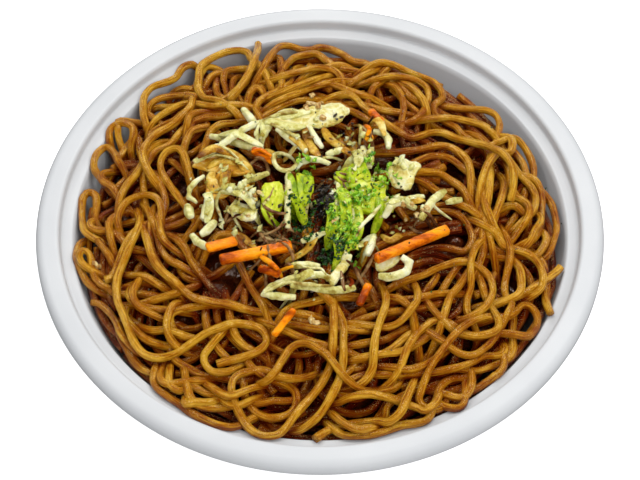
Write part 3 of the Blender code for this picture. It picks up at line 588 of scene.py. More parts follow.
def make_fill(field, rng):
    """The noodles under the ones that show: curly strands and bundles, kept below the heap's top."""
    strands = []
    for _ in range(FILL_STRANDS):
        best, best_score = None, 1e9
        for _ in range(FILL_TRIES):
            reach, around = 82 * math.sqrt(rng.random()), rng.uniform(0, 2 * math.pi)
            start = (reach * math.cos(around), reach * math.sin(around))
            xy = wander(rng, start, rng.uniform(0, 2 * math.pi), rng.uniform(110, 260), 0.045)
            xy = respaced(np.column_stack([softened(xy[:, 0], 4), softened(xy[:, 1], 4)]), 1.0)
            score = np.mean(field.look(field.top, *xy.T) - field.look(field.target, *xy.T))
            if score < best_score:
                best, best_score = xy, score
        copies = rng.integers(1, 4)
        sides = np.gradient(best, axis=0)
        sides = np.column_stack([-sides[:, 1], sides[:, 0]]) / np.linalg.norm(sides, axis=1)[:, None]
        for k in range(copies):
            shift = 3.15 * k + 0.8 * np.sin(np.linspace(0, rng.uniform(3, 9), len(best)) + rng.uniform(0, 6))
            xy = best + sides * shift[:, None]
            reach = np.hypot(xy[:, 0], xy[:, 1])
            xy = xy * np.minimum(1, widest(xy) / reach)[:, None]
            xy = respaced(np.column_stack([softened(xy[:, 0], 3), softened(xy[:, 1], 3)]), 1.0)
            half = NOODLE_HALF * rng.uniform(0.93, 1.05)
            line = lay(field, xy, half)
            over = line[:, 2] + half > field.look(field.target, xy[:, 0], xy[:, 1]) - FILL_BELOW
            for piece in below(line, over):
                field.add(piece, half)
                strands.append((piece, half))
    return strands


def seen_parts(field, strands):
    """The strands without the stretches that lie deep under others."""
    kept = []
    for line, half in strands:
        cover = np.full(len(line), OPEN)
        for dx, dy in ((0, 0), (1.6, 0), (-1.6, 0), (0, 1.6), (0, -1.6)):
            cover = np.minimum(cover, field.look(field.top, line[:, 0] + dx, line[:, 1] + dy))
        seen = cover - line[:, 2] - half < 2.6
        spread = np.convolve(seen, np.ones(9), "same") > 0
        for piece in below(line, ~spread, 6):
            kept.append((respaced(piece, RING_STEP), half))
    return kept


def below(line, over, shortest=24):
    """The stretches of a line that aren't over the limit, leaving out short ones."""
    pieces, start = [], None
    for i, high in enumerate(np.append(over, True)):
        if not high and start is None:
            start = i
        elif high and start is not None:
            if i - start > shortest:
                pieces.append(line[start:i])
            start = None
    return pieces


def tucked(line, rng, field, half):
    """More of the strand past its last point, curving down into the heap and away from the bowl's wall."""
    way = line[-1] - line[-4]
    heading = math.atan2(way[1], way[0])
    slope = way[2] / max(np.linalg.norm(way[:2]), 0.1)
    bend = rng.uniform(-0.05, 0.05)
    place, more = line[-1].copy(), []
    for _ in range(24):
        outward = math.atan2(place[1], place[0])
        off = math.remainder(heading - outward, 2 * math.pi)
        near = min(max((math.hypot(place[0], place[1]) - 64) / 14, 0), 1.3)
        if abs(off) < 2.3:
            heading += 0.24 * near * (1 if off > 0 else -1)
        heading += bend * (1 - min(near, 1))
        slope = max(slope - 0.055, -0.65)
        place = place + (math.cos(heading), math.sin(heading), slope)
        reach = math.hypot(place[0], place[1])
        if reach > 85:
            place[:2] *= 85 / reach
        more.append(place.copy())
    full = np.vstack([line, more])
    start = len(line) - 4
    for k in range(3):
        full[start:, k] = softened(full[start:, k], 6)
    tail = full[len(line):]
    tail[:, 2] = np.maximum(tail[:, 2], field.rest_height(field.bowl, tail[:, :2], half))
    return full


def make_top(field, rng):
    """The noodles that show, laid one over another along their routes."""
    strands = []
    for route in ROUTES:
        half = NOODLE_HALF * rng.uniform(0.94, 1.06)
        xy = even_route([place for place in route if place != CUT], 1.0)
        floor = field.look(field.target, xy[:, 0], xy[:, 1]) - 3.4
        line = lay(field, xy, half, floor)
        field.add(line, half)
        if route[-1] != CUT:
            line = tucked(line, rng, field, half)
        if route[0] != CUT:
            line = tucked(line[::-1], rng, field, half)[::-1]
        strands.append((respaced(line, RING_STEP), half))
    return strands


def make_tubes(name, strands, rng, field, spread=0.45, taper=0.0, flat=1.0, step=RING_STEP,
               count_round=RING_POINTS):
    """One mesh of all the strands: rounded-square tubes that twist a little, with flat or tapered ends.
    Noodles are the ones that aren't flattened, and only they are darkened by the sauce."""
    points, quads, caps, along, tone, depth_shade_and_sauce, painted_crease_shade = [], [], [], [], [], [], []
    angles = np.linspace(0, 2 * math.pi, count_round, endpoint=False)
    power = SQUARENESS
    square = 0.96 * (np.abs(np.cos(angles)) ** power + np.abs(np.sin(angles)) ** power) ** (-1 / power)
    first = 0
    for line, half in strands:
        count = len(line)
        way = np.gradient(line, axis=0)
        way /= np.linalg.norm(way, axis=1)[:, None]
        side = np.cross(way, (0, 0, 1.0))
        side /= np.linalg.norm(side, axis=1)[:, None]
        up = np.cross(side, way)
        run = np.arange(count) * step
        twist = rng.uniform(0, 6) + run * rng.uniform(-0.04, 0.04)
        slow, quick = rng.uniform(0, 6), rng.uniform(0, 6)
        thick = half * (1 + 0.05 * np.sin(run * 0.21 + slow) + 0.04 * np.sin(run * 0.53 + quick))
        if taper:
            share = np.minimum(run, run[-1] - run) / max(run[-1] * 0.5, 0.1)
            thick = thick * (1 - taper * (1 - np.minimum(share / 0.6, 1)) ** 2)
        turned = angles[None, :] + twist[:, None]
        radius = thick[:, None] * square[None, :]
        ring = (line[:, None, :] + side[:, None, :] * (radius * np.cos(turned) * flat)[:, :, None]
                + up[:, None, :] * (radius * np.sin(turned))[:, :, None])
        points.append(ring.reshape(-1, 3))
        i, j = np.meshgrid(np.arange(count - 1), np.arange(count_round), indexing="ij")
        a = first + i * count_round + j
        b = first + i * count_round + (j + 1) % count_round
        quads.append(np.stack([a, b, b + count_round, a + count_round], axis=2).reshape(-1, 4))
        cap = first + np.arange(count_round)
        caps += [cap[::-1], cap + (count - 1) * count_round]
        offset = rng.uniform(0, 400)
        marks = np.stack([np.tile(np.cos(angles), (count, 1)), np.tile(np.sin(angles), (count, 1)),
                          np.tile((run + offset)[:, None], (1, count_round))], axis=2)
        along.append(marks.reshape(-1, 3))
        base = rng.normal(0, spread)
        shade = base + 0.3 * np.sin(run * 0.07 + rng.uniform(0, 6))
        if flat == 1:
            shade = shade - sauced(line[:, 0], line[:, 1])
        tone.append(np.repeat(shade, count_round))
        # Height under the heap's smooth top: the material makes deeper points darker and redder, partly as
        # painted shade down in the heap and partly as sauce.
        depth_shade_and_sauce.append(np.repeat(line[:, 2] + half - heap_height(line[:, 0], line[:, 1]), count_round))
        x, y, z = points[-1].T
        # Painted shade: points that lie below the mean top round them are darkened in the material, as shade
        # in the creases between strands.
        painted_crease_shade.append(z - field.look(field.mean, x, y))
        first += count * count_round
    world = np.vstack(points) * U + (0, 0, RIM_TOP)
    mesh = quick_mesh(name, world, np.vstack(quads), caps)
    mesh.attributes.new("along", "FLOAT_VECTOR", "POINT").data.foreach_set(
        "vector", np.vstack(along).astype(np.float32).ravel())
    mark(mesh, "tone", np.concatenate(tone))
    mark(mesh, "depth_shade_and_sauce", np.concatenate(depth_shade_and_sauce))
    mark(mesh, "painted_crease_shade", np.concatenate(painted_crease_shade))
    return object_from(name, mesh)


def make_core(field):
    """The sauce-soaked mass under the strands."""
    steps, rings = 120, 60
    around = np.linspace(0, 2 * math.pi, steps, endpoint=False)
    points = []
    for reach in np.linspace(1, 80, rings):
        x, y = reach * np.cos(around), reach * np.sin(around)
        rough = [0.7 * noise.noise(Vector((a, b, 0)) * 0.35) for a, b in zip(x, y)]
        low = field.look(field.bowl, x, y) + 0.6
        points.append(np.column_stack([x, y, np.maximum(field.look(field.core, x, y) - 0.6 + rough, low)]))
    points.append(np.column_stack([58 * np.cos(around), 58 * np.sin(around), np.full(steps, -36.4)]))
    i, j = np.meshgrid(np.arange(rings), np.arange(steps), indexing="ij")
    a, b = i * steps + j, i * steps + (j + 1) % steps
    quads = np.stack([a, a + steps, b + steps, b], axis=2).reshape(-1, 4)
    caps = [np.arange(steps), rings * steps + np.arange(steps)[::-1]]
    world = np.vstack(points) * U + (0, 0, RIM_TOP)
    return object_from("noodle_core", quick_mesh("noodle_core", world, quads, caps))


def topping_rays(field, names, start_z, way):
    """(i, j, height) where a ray up or down through a cell's middle first meets a topping."""
    for name in names:
        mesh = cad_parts[name].data
        tree = BVHTree.FromPolygons([v.co for v in mesh.vertices], [p.vertices[:] for p in mesh.polygons])
        low, high = (field.cells(end.x / U, end.y / U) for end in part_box(name))
        for i in range(low[0], high[0] + 1):
            for j in range(low[1], high[1] + 1):
                start = Vector((field.line[i] * U, field.line[j] * U, start_z))
                hit = tree.ray_cast(start, Vector((0, 0, way)))[0]
                if hit is not None:
                    yield i, j, (hit.z - RIM_TOP) / U


def topping_ceiling(field, names):
    """Notes in the field how low the toppings' undersides are."""
    for i, j, height in topping_rays(field, names, 0, 1):
        field.ceiling[i, j] = min(field.ceiling[i, j], height)


def topping_tops(field, names):
    """Raises the field to the tops of the toppings, for what lies over them."""
    field.ceiling[:] = OPEN
    for i, j, height in topping_rays(field, names, 1, -1):
        field.top[i, j] = max(field.top[i, j], height)


# --- Toppings -------------------------------------------------------------------------------------


def near(rng, centre, spread):
    """A random place in plan round a centre."""
    return np.array(centre) + rng.normal(0, 0.5, 2) * spread


def bumpy(mesh, amount, scale, seed, lift):
    """Moves each point along its normal by noise, and up or down by slower noise."""
    for vertex in mesh.vertices:
        at = vertex.co * scale + Vector((seed * 7.3, 0, 0))
        push = noise.noise(at) + 0.45 * noise.noise(at * 2.3)
        vertex.co = vertex.co + vertex.normal * push * amount * U
        if lift:
            slow = Vector((vertex.co.x, vertex.co.y, seed * 0.4)) * LIFT_SCALE
            vertex.co.z += noise.noise(slow) * lift * U
    mesh.update()


def fine_copy(name, voxel, seed):
    """The CAD piece again, as a smooth fine mesh at the same place and size."""
    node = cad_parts[name]
    mesh = node.data.copy()
    mesh.transform(node.matrix_world)
    shape = bmesh.new()
    shape.from_mesh(mesh)
    bmesh.ops.remove_doubles(shape, verts=shape.verts, dist=1e-6)
    shape.to_mesh(mesh)
    shape.free()
    made = object_from(name + "_fine", mesh)
    made.data.materials.clear()
    remesh = made.modifiers.new("remesh", "REMESH")
    remesh.mode = "VOXEL"
    remesh.voxel_size = voxel * U
    remesh.use_smooth_shade = True
    smooth = made.modifiers.new("smooth", "SMOOTH")
    smooth.iterations = 3
    graph = bpy.context.evaluated_depsgraph_get()
    fine = bpy.data.meshes.new_from_object(made.evaluated_get(graph))
    made.modifiers.clear()
    made.data = fine
    for polygon in fine.polygons:
        polygon.use_smooth = True
    mark(fine, "tone", np.full(len(fine.vertices), math.sin(seed * 12.9)))
    return made


def laid_shreds(field, rows):
    """Strands of (half thickness, places in plan) rows, laid over what lies there."""
    strands = []
    for half, places in rows:
        line = lay(field, even_route(places, 0.6), half)
        field.add(line, half)
        strands.append((respaced(line, SHRED_STEP), half))
    return strands


def curls(rng, centre, spread, count, length, half, heading, turn):
    """Short curly threads round a place in plan: rows for laid_shreds."""
    rows = []
    for _ in range(count):
        place = near(rng, centre, spread)
        way = math.radians(heading + rng.normal(0, 38))
        bend = rng.normal(0, turn)
        places = [tuple(place)]
        for _ in range(int(rng.uniform(0.6, 1.3) * length / 2)):
            way += bend + rng.normal(0, 0.12)
            place = place + 2 * np.array((math.cos(way), math.sin(way)))
            places.append(tuple(place))
        if len(places) > 2:
            rows.append((half * rng.uniform(0.75, 1.3), places))
    return rows


def make_flakes(name, field, rng, groups, corners, tilt, lift=0.15, frill=0.5):
    """Thin crumpled flakes, lying tilted on whatever is under them."""
    points, sides, caps, tones = [], [], [], []
    first = 0
    for centre, spread, count, size in groups:
        for _ in range(count):
            x, y = near(rng, centre, spread)
            if math.hypot(x, y) > FLAKE_REACH:
                continue
            radius = size * rng.uniform(0.55, 1.35)
            z = max(field.look(field.top, x, y), field.look(field.mean, x, y) + 0.3)
            z = min(z + (lift + rng.uniform(0, tilt)) * radius, (cad_box[1].z - RIM_TOP) / U + 0.4)
            normal = Vector((rng.normal(0, tilt), rng.normal(0, tilt), 1)).normalized()
            a = normal.orthogonal().normalized()
            b = normal.cross(a)
            turn = rng.uniform(0, 6.28)
            reach = radius * rng.uniform(0.45, 1.1, corners)
            bent = rng.normal(0, frill * 0.3 * radius, corners)
            thick = 0.07 + 0.03 * size
            middle = Vector((x, y, z))
            rim = []
            for k in range(corners):
                angle = turn + 2 * math.pi * k / corners
                outward = a * math.cos(angle) + b * math.sin(angle) * 0.75
                rim.append(middle + outward * reach[k] + normal * bent[k])
            layer = [middle, *rim]
            points += [p + normal * thick for p in layer] + [p - normal * thick for p in layer]
            low = first + corners + 1
            for k in range(corners):
                n = (k + 1) % corners
                caps.append(np.array((first, first + 1 + k, first + 1 + n)))
                caps.append(np.array((low, low + 1 + n, low + 1 + k)))
                sides.append((first + 1 + k, low + 1 + k, low + 1 + n, first + 1 + n))
            tones += [rng.normal(0, 1)] * (2 * corners + 2)
            first += 2 * corners + 2
    world = np.array(points) * U + (0, 0, RIM_TOP)
    world[:, 2] = np.minimum(world[:, 2], cad_box[1].z + FLAKE_RISE)
    mesh = quick_mesh(name, world, np.array(sides), caps)
    mark(mesh, "tone", tones)
    return object_from(name, mesh)


def make_lumps(name, field, rng, groups):
    """Small rough lumps, each resting on the field."""
    shape = bmesh.new()
    tones = []
    for centre, spread, count, size in groups:
        for _ in range(count):
            x, y = near(rng, centre, spread)
            radius = size * rng.uniform(0.6, 1.3)
            z = field.look(field.top, x, y) + 0.35 * radius
            made = bmesh.ops.create_icosphere(shape, subdivisions=3, radius=1)
            seed = Vector(rng.uniform(0, 50, 3))
            stretch = rng.uniform(0.7, 1.3, 3)
            for vertex in made["verts"]:
                at = vertex.co
                push = 1 + 0.5 * noise.noise(at * 1.3 + seed) + 0.25 * noise.noise(at * 3.1 + seed)
                local = Vector((at.x * stretch[0], at.y * stretch[1], at.z * stretch[2] * 0.8))
                vertex.co = (Vector((x, y, z)) + local * radius * push) * U + Vector((0, 0, RIM_TOP))
            tones += [rng.normal(0, 1)] * len(made["verts"])
            field.add(np.array([[x, y, z]]), max(radius * 0.8, 0.5))
    mesh = bpy.data.meshes.new(name)
    shape.to_mesh(mesh)
    shape.free()
    for polygon in mesh.polygons:
        polygon.use_smooth = True
    mark(mesh, "tone", tones)
    return object_from(name, mesh)


# Shreds and ribbons that show, as (half thickness, places in plan).
PALE_SHREDS = (
    (0.9, ((-22, 33), (-17, 35), (-12, 37), (-8, 37.5))),
    (0.8, ((-20, 31), (-14, 27.5), (-9, 24.5), (-5, 21.5))),
    (0.7, ((-21, 31), (-22.5, 27), (-22, 22.5))),
    (0.8, ((12, 38), (13.5, 34), (14.5, 29), (14, 24))),
    (0.55, ((17, 36), (16, 31), (17.5, 27))),
    (0.7, ((1, 15.5), (4, 17.5), (8, 19))),
    (0.7, ((-33, 3), (-36, -1), (-34, -6))),
    (0.7, ((-32, -3), (-30, -7), (-27, -10))),
    (0.8, ((-37, 3), (-31, 3.5), (-26, 0.5), (-22, -4))),
    (0.9, ((12, -19.5), (14, -14), (18, -9), (21, -5))),
    (0.7, ((14, -24.5), (17, -21.5), (20.5, -19))),
    (0.6, ((-8, -29), (-4, -30.5), (0, -31), (2, -34))),
    (0.6, ((-14, -38.5), (-8, -35.5), (-4, -34))),
    (0.8, ((-19, -40.5), (-12, -37), (-5, -38), (4, -37))),
    (0.6, ((-44, 18), (-38, 21), (-33, 20), (-28, 16))),
    (0.6, ((-41, 16), (-36, 18), (-30, 15.5), (-25, 11))),
    (0.6, ((36, 0), (40, -3), (46, -4))),
    (0.7, ((-6, -8), (-4, -4), (-2.5, 0))),
    (0.5, ((9, 21), (12, 18), (12, 13))),
    (0.5, ((24, -1), (27, -4), (33, -5.5))),
)
CARROT_SHREDS = (
    (0.8, ((-20, -26), (-17, -29), (-14, -33.5))),
    (0.6, ((-18, -26), (-14, -29), (-12.5, -32))),
    (0.6, ((-15, -26.5), (-12, -29), (-9, -30))),
    (0.7, ((16, 30), (17.5, 27), (16.5, 24))),
    (0.6, ((-24, 17), (-21, 18), (-17, 15))),
    (0.6, ((10, -30), (11, -34), (10, -37))),
)
SAUCY_RIBBONS = (
    (1.2, ((-43, 16), (-37, 19.5), (-29, 18), (-23, 12))),
    (1.1, ((-40, 13.5), (-35, 16.5), (-28, 14.5), (-23.5, 9.5))),
    (1.3, ((-38, 12), (-37.5, 6), (-35, 2.5))),
    (1.2, ((-33.5, 14), (-33, 8), (-34, 3))),
    (1.0, ((-31, 17), (-27, 12.5), (-25, 8))),
    (1.2, ((-22, 23), (-18, 20), (-16, 15))),
    (1.0, ((-5.5, 31), (-4.5, 26), (-2, 20), (0, 17))),
    (1.0, ((1, 31), (4, 27), (9, 24.5))),
    (0.9, ((-13, 28), (-8, 23), (-4, 18.5))),
    (1.1, ((8, 33), (11.5, 28), (12.5, 22))),
    (0.9, ((4, 22), (8, 20.5), (12, 17))),
    (0.9, ((18, 35), (21.5, 31), (23, 26))),
    (0.8, ((-16, 22), (-12, 21), (-7, 22))),
    (1.0, ((-29, 4), (-24.5, 1), (-22, -4))),
    (0.9, ((21, -12), (24, -15), (27, -13), (29, -10))),
    (0.9, ((-3, -10), (-5, -15), (-3, -20))),
    (0.9, ((17, -12), (17, -18), (14, -25))),
    (0.8, ((-12, -24), (-6, -22), (-1, -18))),
    (0.9, ((28, -3), (33, -2), (37, 2))),
    (0.9, ((-31, -11), (-26, -14), (-21, -20))),
)
GREEN_RIBBONS = (
    (1.3, ((4, -1), (4.5, -8), (4, -14), (2.5, -19))),
    (1.4, ((7, 3), (8.5, -5), (9, -12), (8, -20))),
    (1.3, ((10.5, 0), (12.5, -6), (13, -12), (12, -18), (9, -24))),
    (1.3, ((5, 4.5), (9, 3), (13, 3.5), (17, 6))),
    (1.2, ((5.5, 8.5), (9, 7.5), (13, 9.5), (17, 8.5))),
    (1.2, ((9, 13), (11, 8.5), (10.5, 2))),
    (1.1, ((14, 14), (15, 9.5), (17, 5))),
    (1.1, ((-10.5, 8), (-9.5, 2), (-9, -5))),
    (1.1, ((-6.5, 11.5), (-4, 7), (-5, 0))),
    (1.2, ((-12, -1.5), (-8, -4), (-5, -9))),
    (1.0, ((20, -1), (20.5, -8), (18, -13))),
    (1.0, ((5, -19), (6.5, -24), (4.5, -29))),
    (1.0, ((-20, -6), (-17, -9), (-13, -9.5))),
)
LIGHT_RIBBONS = (
    (1.0, ((5, 10), (8.5, 12.5), (11.5, 17))),
    (1.1, ((12, 21), (13.5, 15.5), (13, 10))),
    (1.2, ((-20, 37), (-14, 36), (-8, 37.5), (-3, 39))),
    (1.1, ((-22, 33), (-17, 30.5), (-11, 30), (-5, 31))),
    (0.9, ((-36, 28), (-31, 26), (-26, 24), (-20, 21))),
    (0.8, ((-21, 31), (-20, 27), (-22, 23))),
    (1.0, ((-33, -2), (-29, -5), (-24, -7), (-20.5, -8))),
    (0.9, ((-31, 1), (-26, -2), (-22.5, -6))),
    (1.0, ((23, 19), (27, 17), (30, 12))),
    (0.9, ((23.5, -6.5), (28, -4), (33, -5))),
    (1.0, ((-40, 2), (-38, -4), (-39, -11))),
    (0.8, ((6, 5), (7, 0), (5.5, -6), (6, -12))),
    (0.7, ((11, 0), (11, -8), (10, -15))),
    (0.9, ((-11, -37), (-6, -34), (0, -31))),
    (0.9, ((13, -22), (15.5, -18), (19, -13))),
)


# Threads browned by the sauce: place, spread, count, length, half thickness, heading in degrees and how
# much each bends.
BROWNED_CURLS = (
    ((-17, -14), (9, 7), 30, 10, 0.42, -55, 0.12),
    ((-25, -9), (7, 5), 6, 9, 0.42, -30, 0.15),
    ((5, 28), (10, 5), 7, 8, 0.45, -50, 0.2),
    ((15, 29), (4, 8), 7, 8, 0.45, -80, 0.15),
    ((-22, 15), (5, 5), 4, 7, 0.45, 10, 0.25),
    ((4, 8), (6, 5), 5, 7, 0.4, -60, 0.25),
    ((30, -9), (6, 3), 4, 7, 0.5, -20, 0.3),
    ((11, -28), (7, 5), 5, 8, 0.5, -70, 0.15),
    ((-17, -29), (8, 4), 5, 8, 0.5, -60, 0.15),
)

# Crumbs and flakes: place, spread, count and size of each group.
CRUMBS = (
    ((-2.5, 45), (3.4, 6), 34, 0.95), ((-2, -45), (3, 2.5), 9, 0.9), ((-27, -3), (4, 3), 5, 0.6),
    ((-33, -6), (4, 4), 5, 0.6), ((-25.5, -8), (3, 2.5), 4, 0.6), ((16, 33), (3, 4), 5, 0.6),
    ((-22, 2), (3, 5), 6, 0.6), ((-77, -19), (2, 1.5), 4, 0.8), ((31, -6), (7, 3), 9, 0.8),
    ((2, -13), (3, 3), 4, 0.7), ((45, 45), (1.5, 1), 3, 0.6),
)
DARK_FLAKES = (
    ((1, 1.5), (3.2, 8), 300, 0.85), ((2, -5), (3.5, 5), 90, 0.8), ((5.5, 36), (0.6, 1.6), 3, 1.3),
    ((8.6, 34), (0.8, 1.6), 3, 1.2), ((12, 37), (1, 1.8), 4, 1.1), ((-24.5, 26), (0.6, 0.6), 2, 1.0),
    ((-22, -5), (1.5, 1), 2, 1.0), ((-14, -5), (1, 1), 2, 1.0), ((5, -22), (5, 3.5), 50, 0.8),
    ((10, 20), (10, 12), 16, 0.7), ((0, 0), (45, 40), 60, 0.45),
)
GREEN_FLAKES = (
    ((-6, -13), (4.6, 7), 210, 0.8), ((5, -21), (6.5, 5), 200, 0.85), ((-4, -4), (3.5, 5), 60, 0.7),
    ((-9.5, -6), (2, 5), 40, 0.7), ((20, 3), (8, 10), 24, 0.7), ((0, 0), (60, 55), 90, 0.45),
    ((0, 0), (110, 110), 60, 0.4), ((7, -8), (8, 8), 30, 0.7),
)
LEAF_BITS = (
    ((-28, -4), (12, 9), 44, 1.5), ((-25, 4), (8, 6), 16, 1.4), ((27, 14), (7, 8), 16, 1.4),
    ((14, 15), (8, 10), 24, 1.4), ((8, -2), (8, 14), 26, 1.2), ((30, -6), (10, 6), 14, 1.2),
    ((-9, 26), (14, 8), 20, 1.4), ((5, 29), (10, 6), 14, 1.3), ((-34, 12), (9, 8), 10, 1.4),
    ((-2, -35), (14, 5), 10, 1.1),
)
PARSLEY = (
    ((20, 15), (4, 5.5), 42, 1.35), ((23.5, 8), (3.2, 7), 36, 1.25), ((-4.5, 13.5), (3.4, 3.4), 22, 1.25),
    ((10, -4), (6, 4), 20, 1.2), ((8, -14), (6, 5), 44, 1.3), ((11, -20), (4, 6), 26, 1.15),
    ((15, -2), (5, 3), 14, 1.1), ((3, -11), (4, 4), 12, 1.0), ((-5, 8), (2.5, 4), 8, 0.9),
    ((8, -8), (8, 10), 60, 1.3), ((16, 4), (8, 8), 26, 1.2),
)

# The small toppings whose material isn't named after them.
BORROWED = {"carrot_shreds": "carrot", "leaf_bits": "light_ribbons"}


def make_small_toppings(field, rng, materials):
    """What is scattered over the vegetables: ribbons, shreds, crumbs, green flakes and dark ones."""
    def threads(name, rows, taper, flat, points_round, share=1):
        strands = laid_shreds(field, [(share * half, places) for half, places in rows])
        return make_tubes(name, strands, rng, field, 0.8, taper, flat, SHRED_STEP, points_round)

    made = {
        "saucy_ribbons": threads("saucy_ribbons", SAUCY_RIBBONS, 0.6, 3.2, 10, 0.5),
        "green_ribbons": threads("green_ribbons", GREEN_RIBBONS, 0.6, 3.2, 10, 0.5),
        "light_ribbons": threads("light_ribbons", LIGHT_RIBBONS, 0.6, 3.2, 10, 0.5),
    }
    browned = [row for group in BROWNED_CURLS for row in curls(rng, *group)]
    made["browned_shreds"] = threads("browned_shreds", browned, 0.5, 1.2, 7)
    onion_ring = [(-12 + 4.3 * math.cos(a), 15 + 5 * math.sin(a)) for a in np.linspace(0.4, 6.5, 14)]
    made["pale_shreds"] = threads("pale_shreds", (*PALE_SHREDS, (1, onion_ring)), 0.5, 1.2, 8, 0.7)
    made["carrot_shreds"] = threads("carrot_shreds", CARROT_SHREDS, 0.4, 1.3, 8)
    made["crumbs"] = make_lumps("crumbs", field, rng, CRUMBS)
    made["dark_flakes"] = make_flakes("dark_flakes", field, rng, DARK_FLAKES, 6, 0.7)
    made["green_flakes"] = make_flakes("green_flakes", field, rng, GREEN_FLAKES, 6, 0.7)
    made["leaf_bits"] = make_flakes("leaf_bits", field, rng, LEAF_BITS, 7, 0.5, 0.4, 0.9)
    made["parsley"] = make_flakes("parsley", field, rng, PARSLEY, 9, 0.95, 0.5, 1.2)
    for name, piece in made.items():
        piece.data.materials.append(materials[BORROWED.get(name, name)])
        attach(piece, "root")


# Each kind of vegetable: its voxels, and how much, how finely and how slowly its surface is uneven.
SURFACES = {"cabbage": (0.42, 0.42, 420, 0.5), "sprout": (0.38, 0.26, 520, 0), "carrot": (0.4, 0.12, 600, 0)}


def make_toppings(names, materials):
    for number, name in enumerate(names):
        voxel, amount, scale, lift = SURFACES[name.split("_")[0]]
        made = fine_copy(name, voxel, number)
        bumpy(made.data, amount, scale, number, lift)
        slot = topping_slot(name)
        made.data.materials.append(materials[slot])
        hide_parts(name)
        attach(made, "root")


# --- Materials ------------------------------------------------------------------------------------


class Look:
    """A material under construction: each method adds a node and gives its output."""

    def __init__(self, name):
        self.material = bpy.data.materials.new(name)
        self.material.use_nodes = True
        self.tree = self.material.node_tree
        self.shader = self.tree.nodes["Principled BSDF"]

    def feed(self, sockets, values):
        """Gives each named socket a plain value or another node's output."""
        for name, value in values.items():
            if isinstance(value, bpy.types.NodeSocket):
                self.tree.links.new(value, sockets[name])
            else:
                sockets[name].default_value = value

    def finish(self, values):
        self.feed(self.shader.inputs, values)
        return self.material

    def node(self, kind, output, values, **settings):
        made = self.tree.nodes.new(kind)
        for setting, value in settings.items():
            setattr(made, setting, value)
        self.feed(made.inputs, values)
        return made.outputs[output]

    def place(self):
        return self.node("ShaderNodeTexCoord", "Object", {})

    def attribute(self, name, output="Fac"):
        return self.node("ShaderNodeAttribute", output, {}, attribute_name=name)

    def noise(self, vector, scale, detail, rough, output="Fac"):
        values = {"Vector": vector, "Scale": scale, "Detail": detail, "Roughness": rough}
        return self.node("ShaderNodeTexNoise", output, values)

    def math(self, kind, *values):
        return self.node("ShaderNodeMath", 0, dict(enumerate(values)), operation=kind)

    def add_scaled(self, value, factor, other):
        return self.math("MULTIPLY_ADD", value, factor, other)

    def clamped(self, value, low, high):
        return self.math("MAXIMUM", self.math("MINIMUM", value, high), low)

    def scaled(self, vector, scale):
        return self.node("ShaderNodeVectorMath", 0, {0: vector, 1: scale}, operation="MULTIPLY")

    def bump(self, height, strength, distance):
        values = {"Height": height, "Strength": strength, "Distance": distance}
        return self.node("ShaderNodeBump", "Normal", values)

    def ramp(self, fac, stops):
        made = self.tree.nodes.new("ShaderNodeValToRGB")
        while len(made.color_ramp.elements) < len(stops):
            made.color_ramp.elements.new(0.5)
        for element, (place, colour) in zip(made.color_ramp.elements, stops):
            element.position = place
            element.color = (*colour, 1)
        self.tree.links.new(fac, made.inputs["Fac"])
        return made.outputs["Color"]


def noodle_material():
    """Wet, sauced wheat noodle: streaks along each strand, stains, painted highlights as golden flecks on
    what faces up, and darker and redder down in the heap, partly painted shade and partly sauce, with painted
    shade in the creases."""
    look = Look("noodle")
    along = look.attribute("along", "Vector")
    place = look.place()
    streak = look.noise(look.scaled(along, (1.7, 1.7, 0.09)), 1.5, 5, 0.65)
    grain = look.noise(place, 1300, 3, 0.65)
    stains = look.noise(place, 150, 5, 0.65)
    light = look.add_scaled(look.attribute("tone"), 0.07, -0.25)
    light = look.add_scaled(streak, 1.0, light)
    light = look.add_scaled(stains, 0.5, light)
    # Darker and redder deeper in the heap: partly painted shade, partly sauce.
    light = look.add_scaled(look.clamped(look.attribute("depth_shade_and_sauce"), -9.0, 1.0), 0.03, light)
    # Painted shade: darker and redder where a point lies below the mean top round it, in the creases between
    # strands.
    light = look.add_scaled(look.clamped(look.attribute("painted_crease_shade"), -3.0, 1.6), 0.075, light)
    sauce_and_shade_colour = look.ramp(light, (
        (0.10, (0.085, 0.0035, 0.0002)), (0.26, (0.21, 0.019, 0.0005)), (0.44, (0.32, 0.069, 0.001)),
        (0.60, (0.54, 0.195, 0.003)), (0.80, (0.84, 0.45, 0.03))))
    # Painted highlights: pale golden flecks mixed into the base colour on what faces up, standing in for
    # glints of the lamps above.
    normal = look.node("ShaderNodeNewGeometry", "Normal", {})
    facing_up = look.node("ShaderNodeSeparateXYZ", "Z", {0: normal})
    painted_glint_mask = look.add_scaled(facing_up, 0.28, look.noise(look.scaled(along, (1.6, 1.6, 0.55)), 4.0, 3, 0.7))
    painted_glint_mask = look.add_scaled(look.add_scaled(stains, 0.35, painted_glint_mask), 16.0, -16.6)
    painted_glint_colour = (0.98, 0.74, 0.28, 1)
    colour = look.node("ShaderNodeMix", "Result", {
        "Factor": look.clamped(painted_glint_mask, 0.0, 0.85), "A": sauce_and_shade_colour, "B": painted_glint_colour}, data_type="RGBA")
    height = look.add_scaled(stains, 1.0, look.add_scaled(streak, 2.4, grain))
    return look.finish({
        "Base Color": colour, "Roughness": look.add_scaled(grain, 0.2, 0.1), "Specular IOR Level": 0.75,
        "Specular Tint": (1, 0.74, 0.25, 1), "Coat Weight": 0.3, "Coat Roughness": 0.06,
        "Normal": look.bump(height, 1.0, 0.0007), "Coat Normal": look.bump(height, 1.0, 0.00016)})


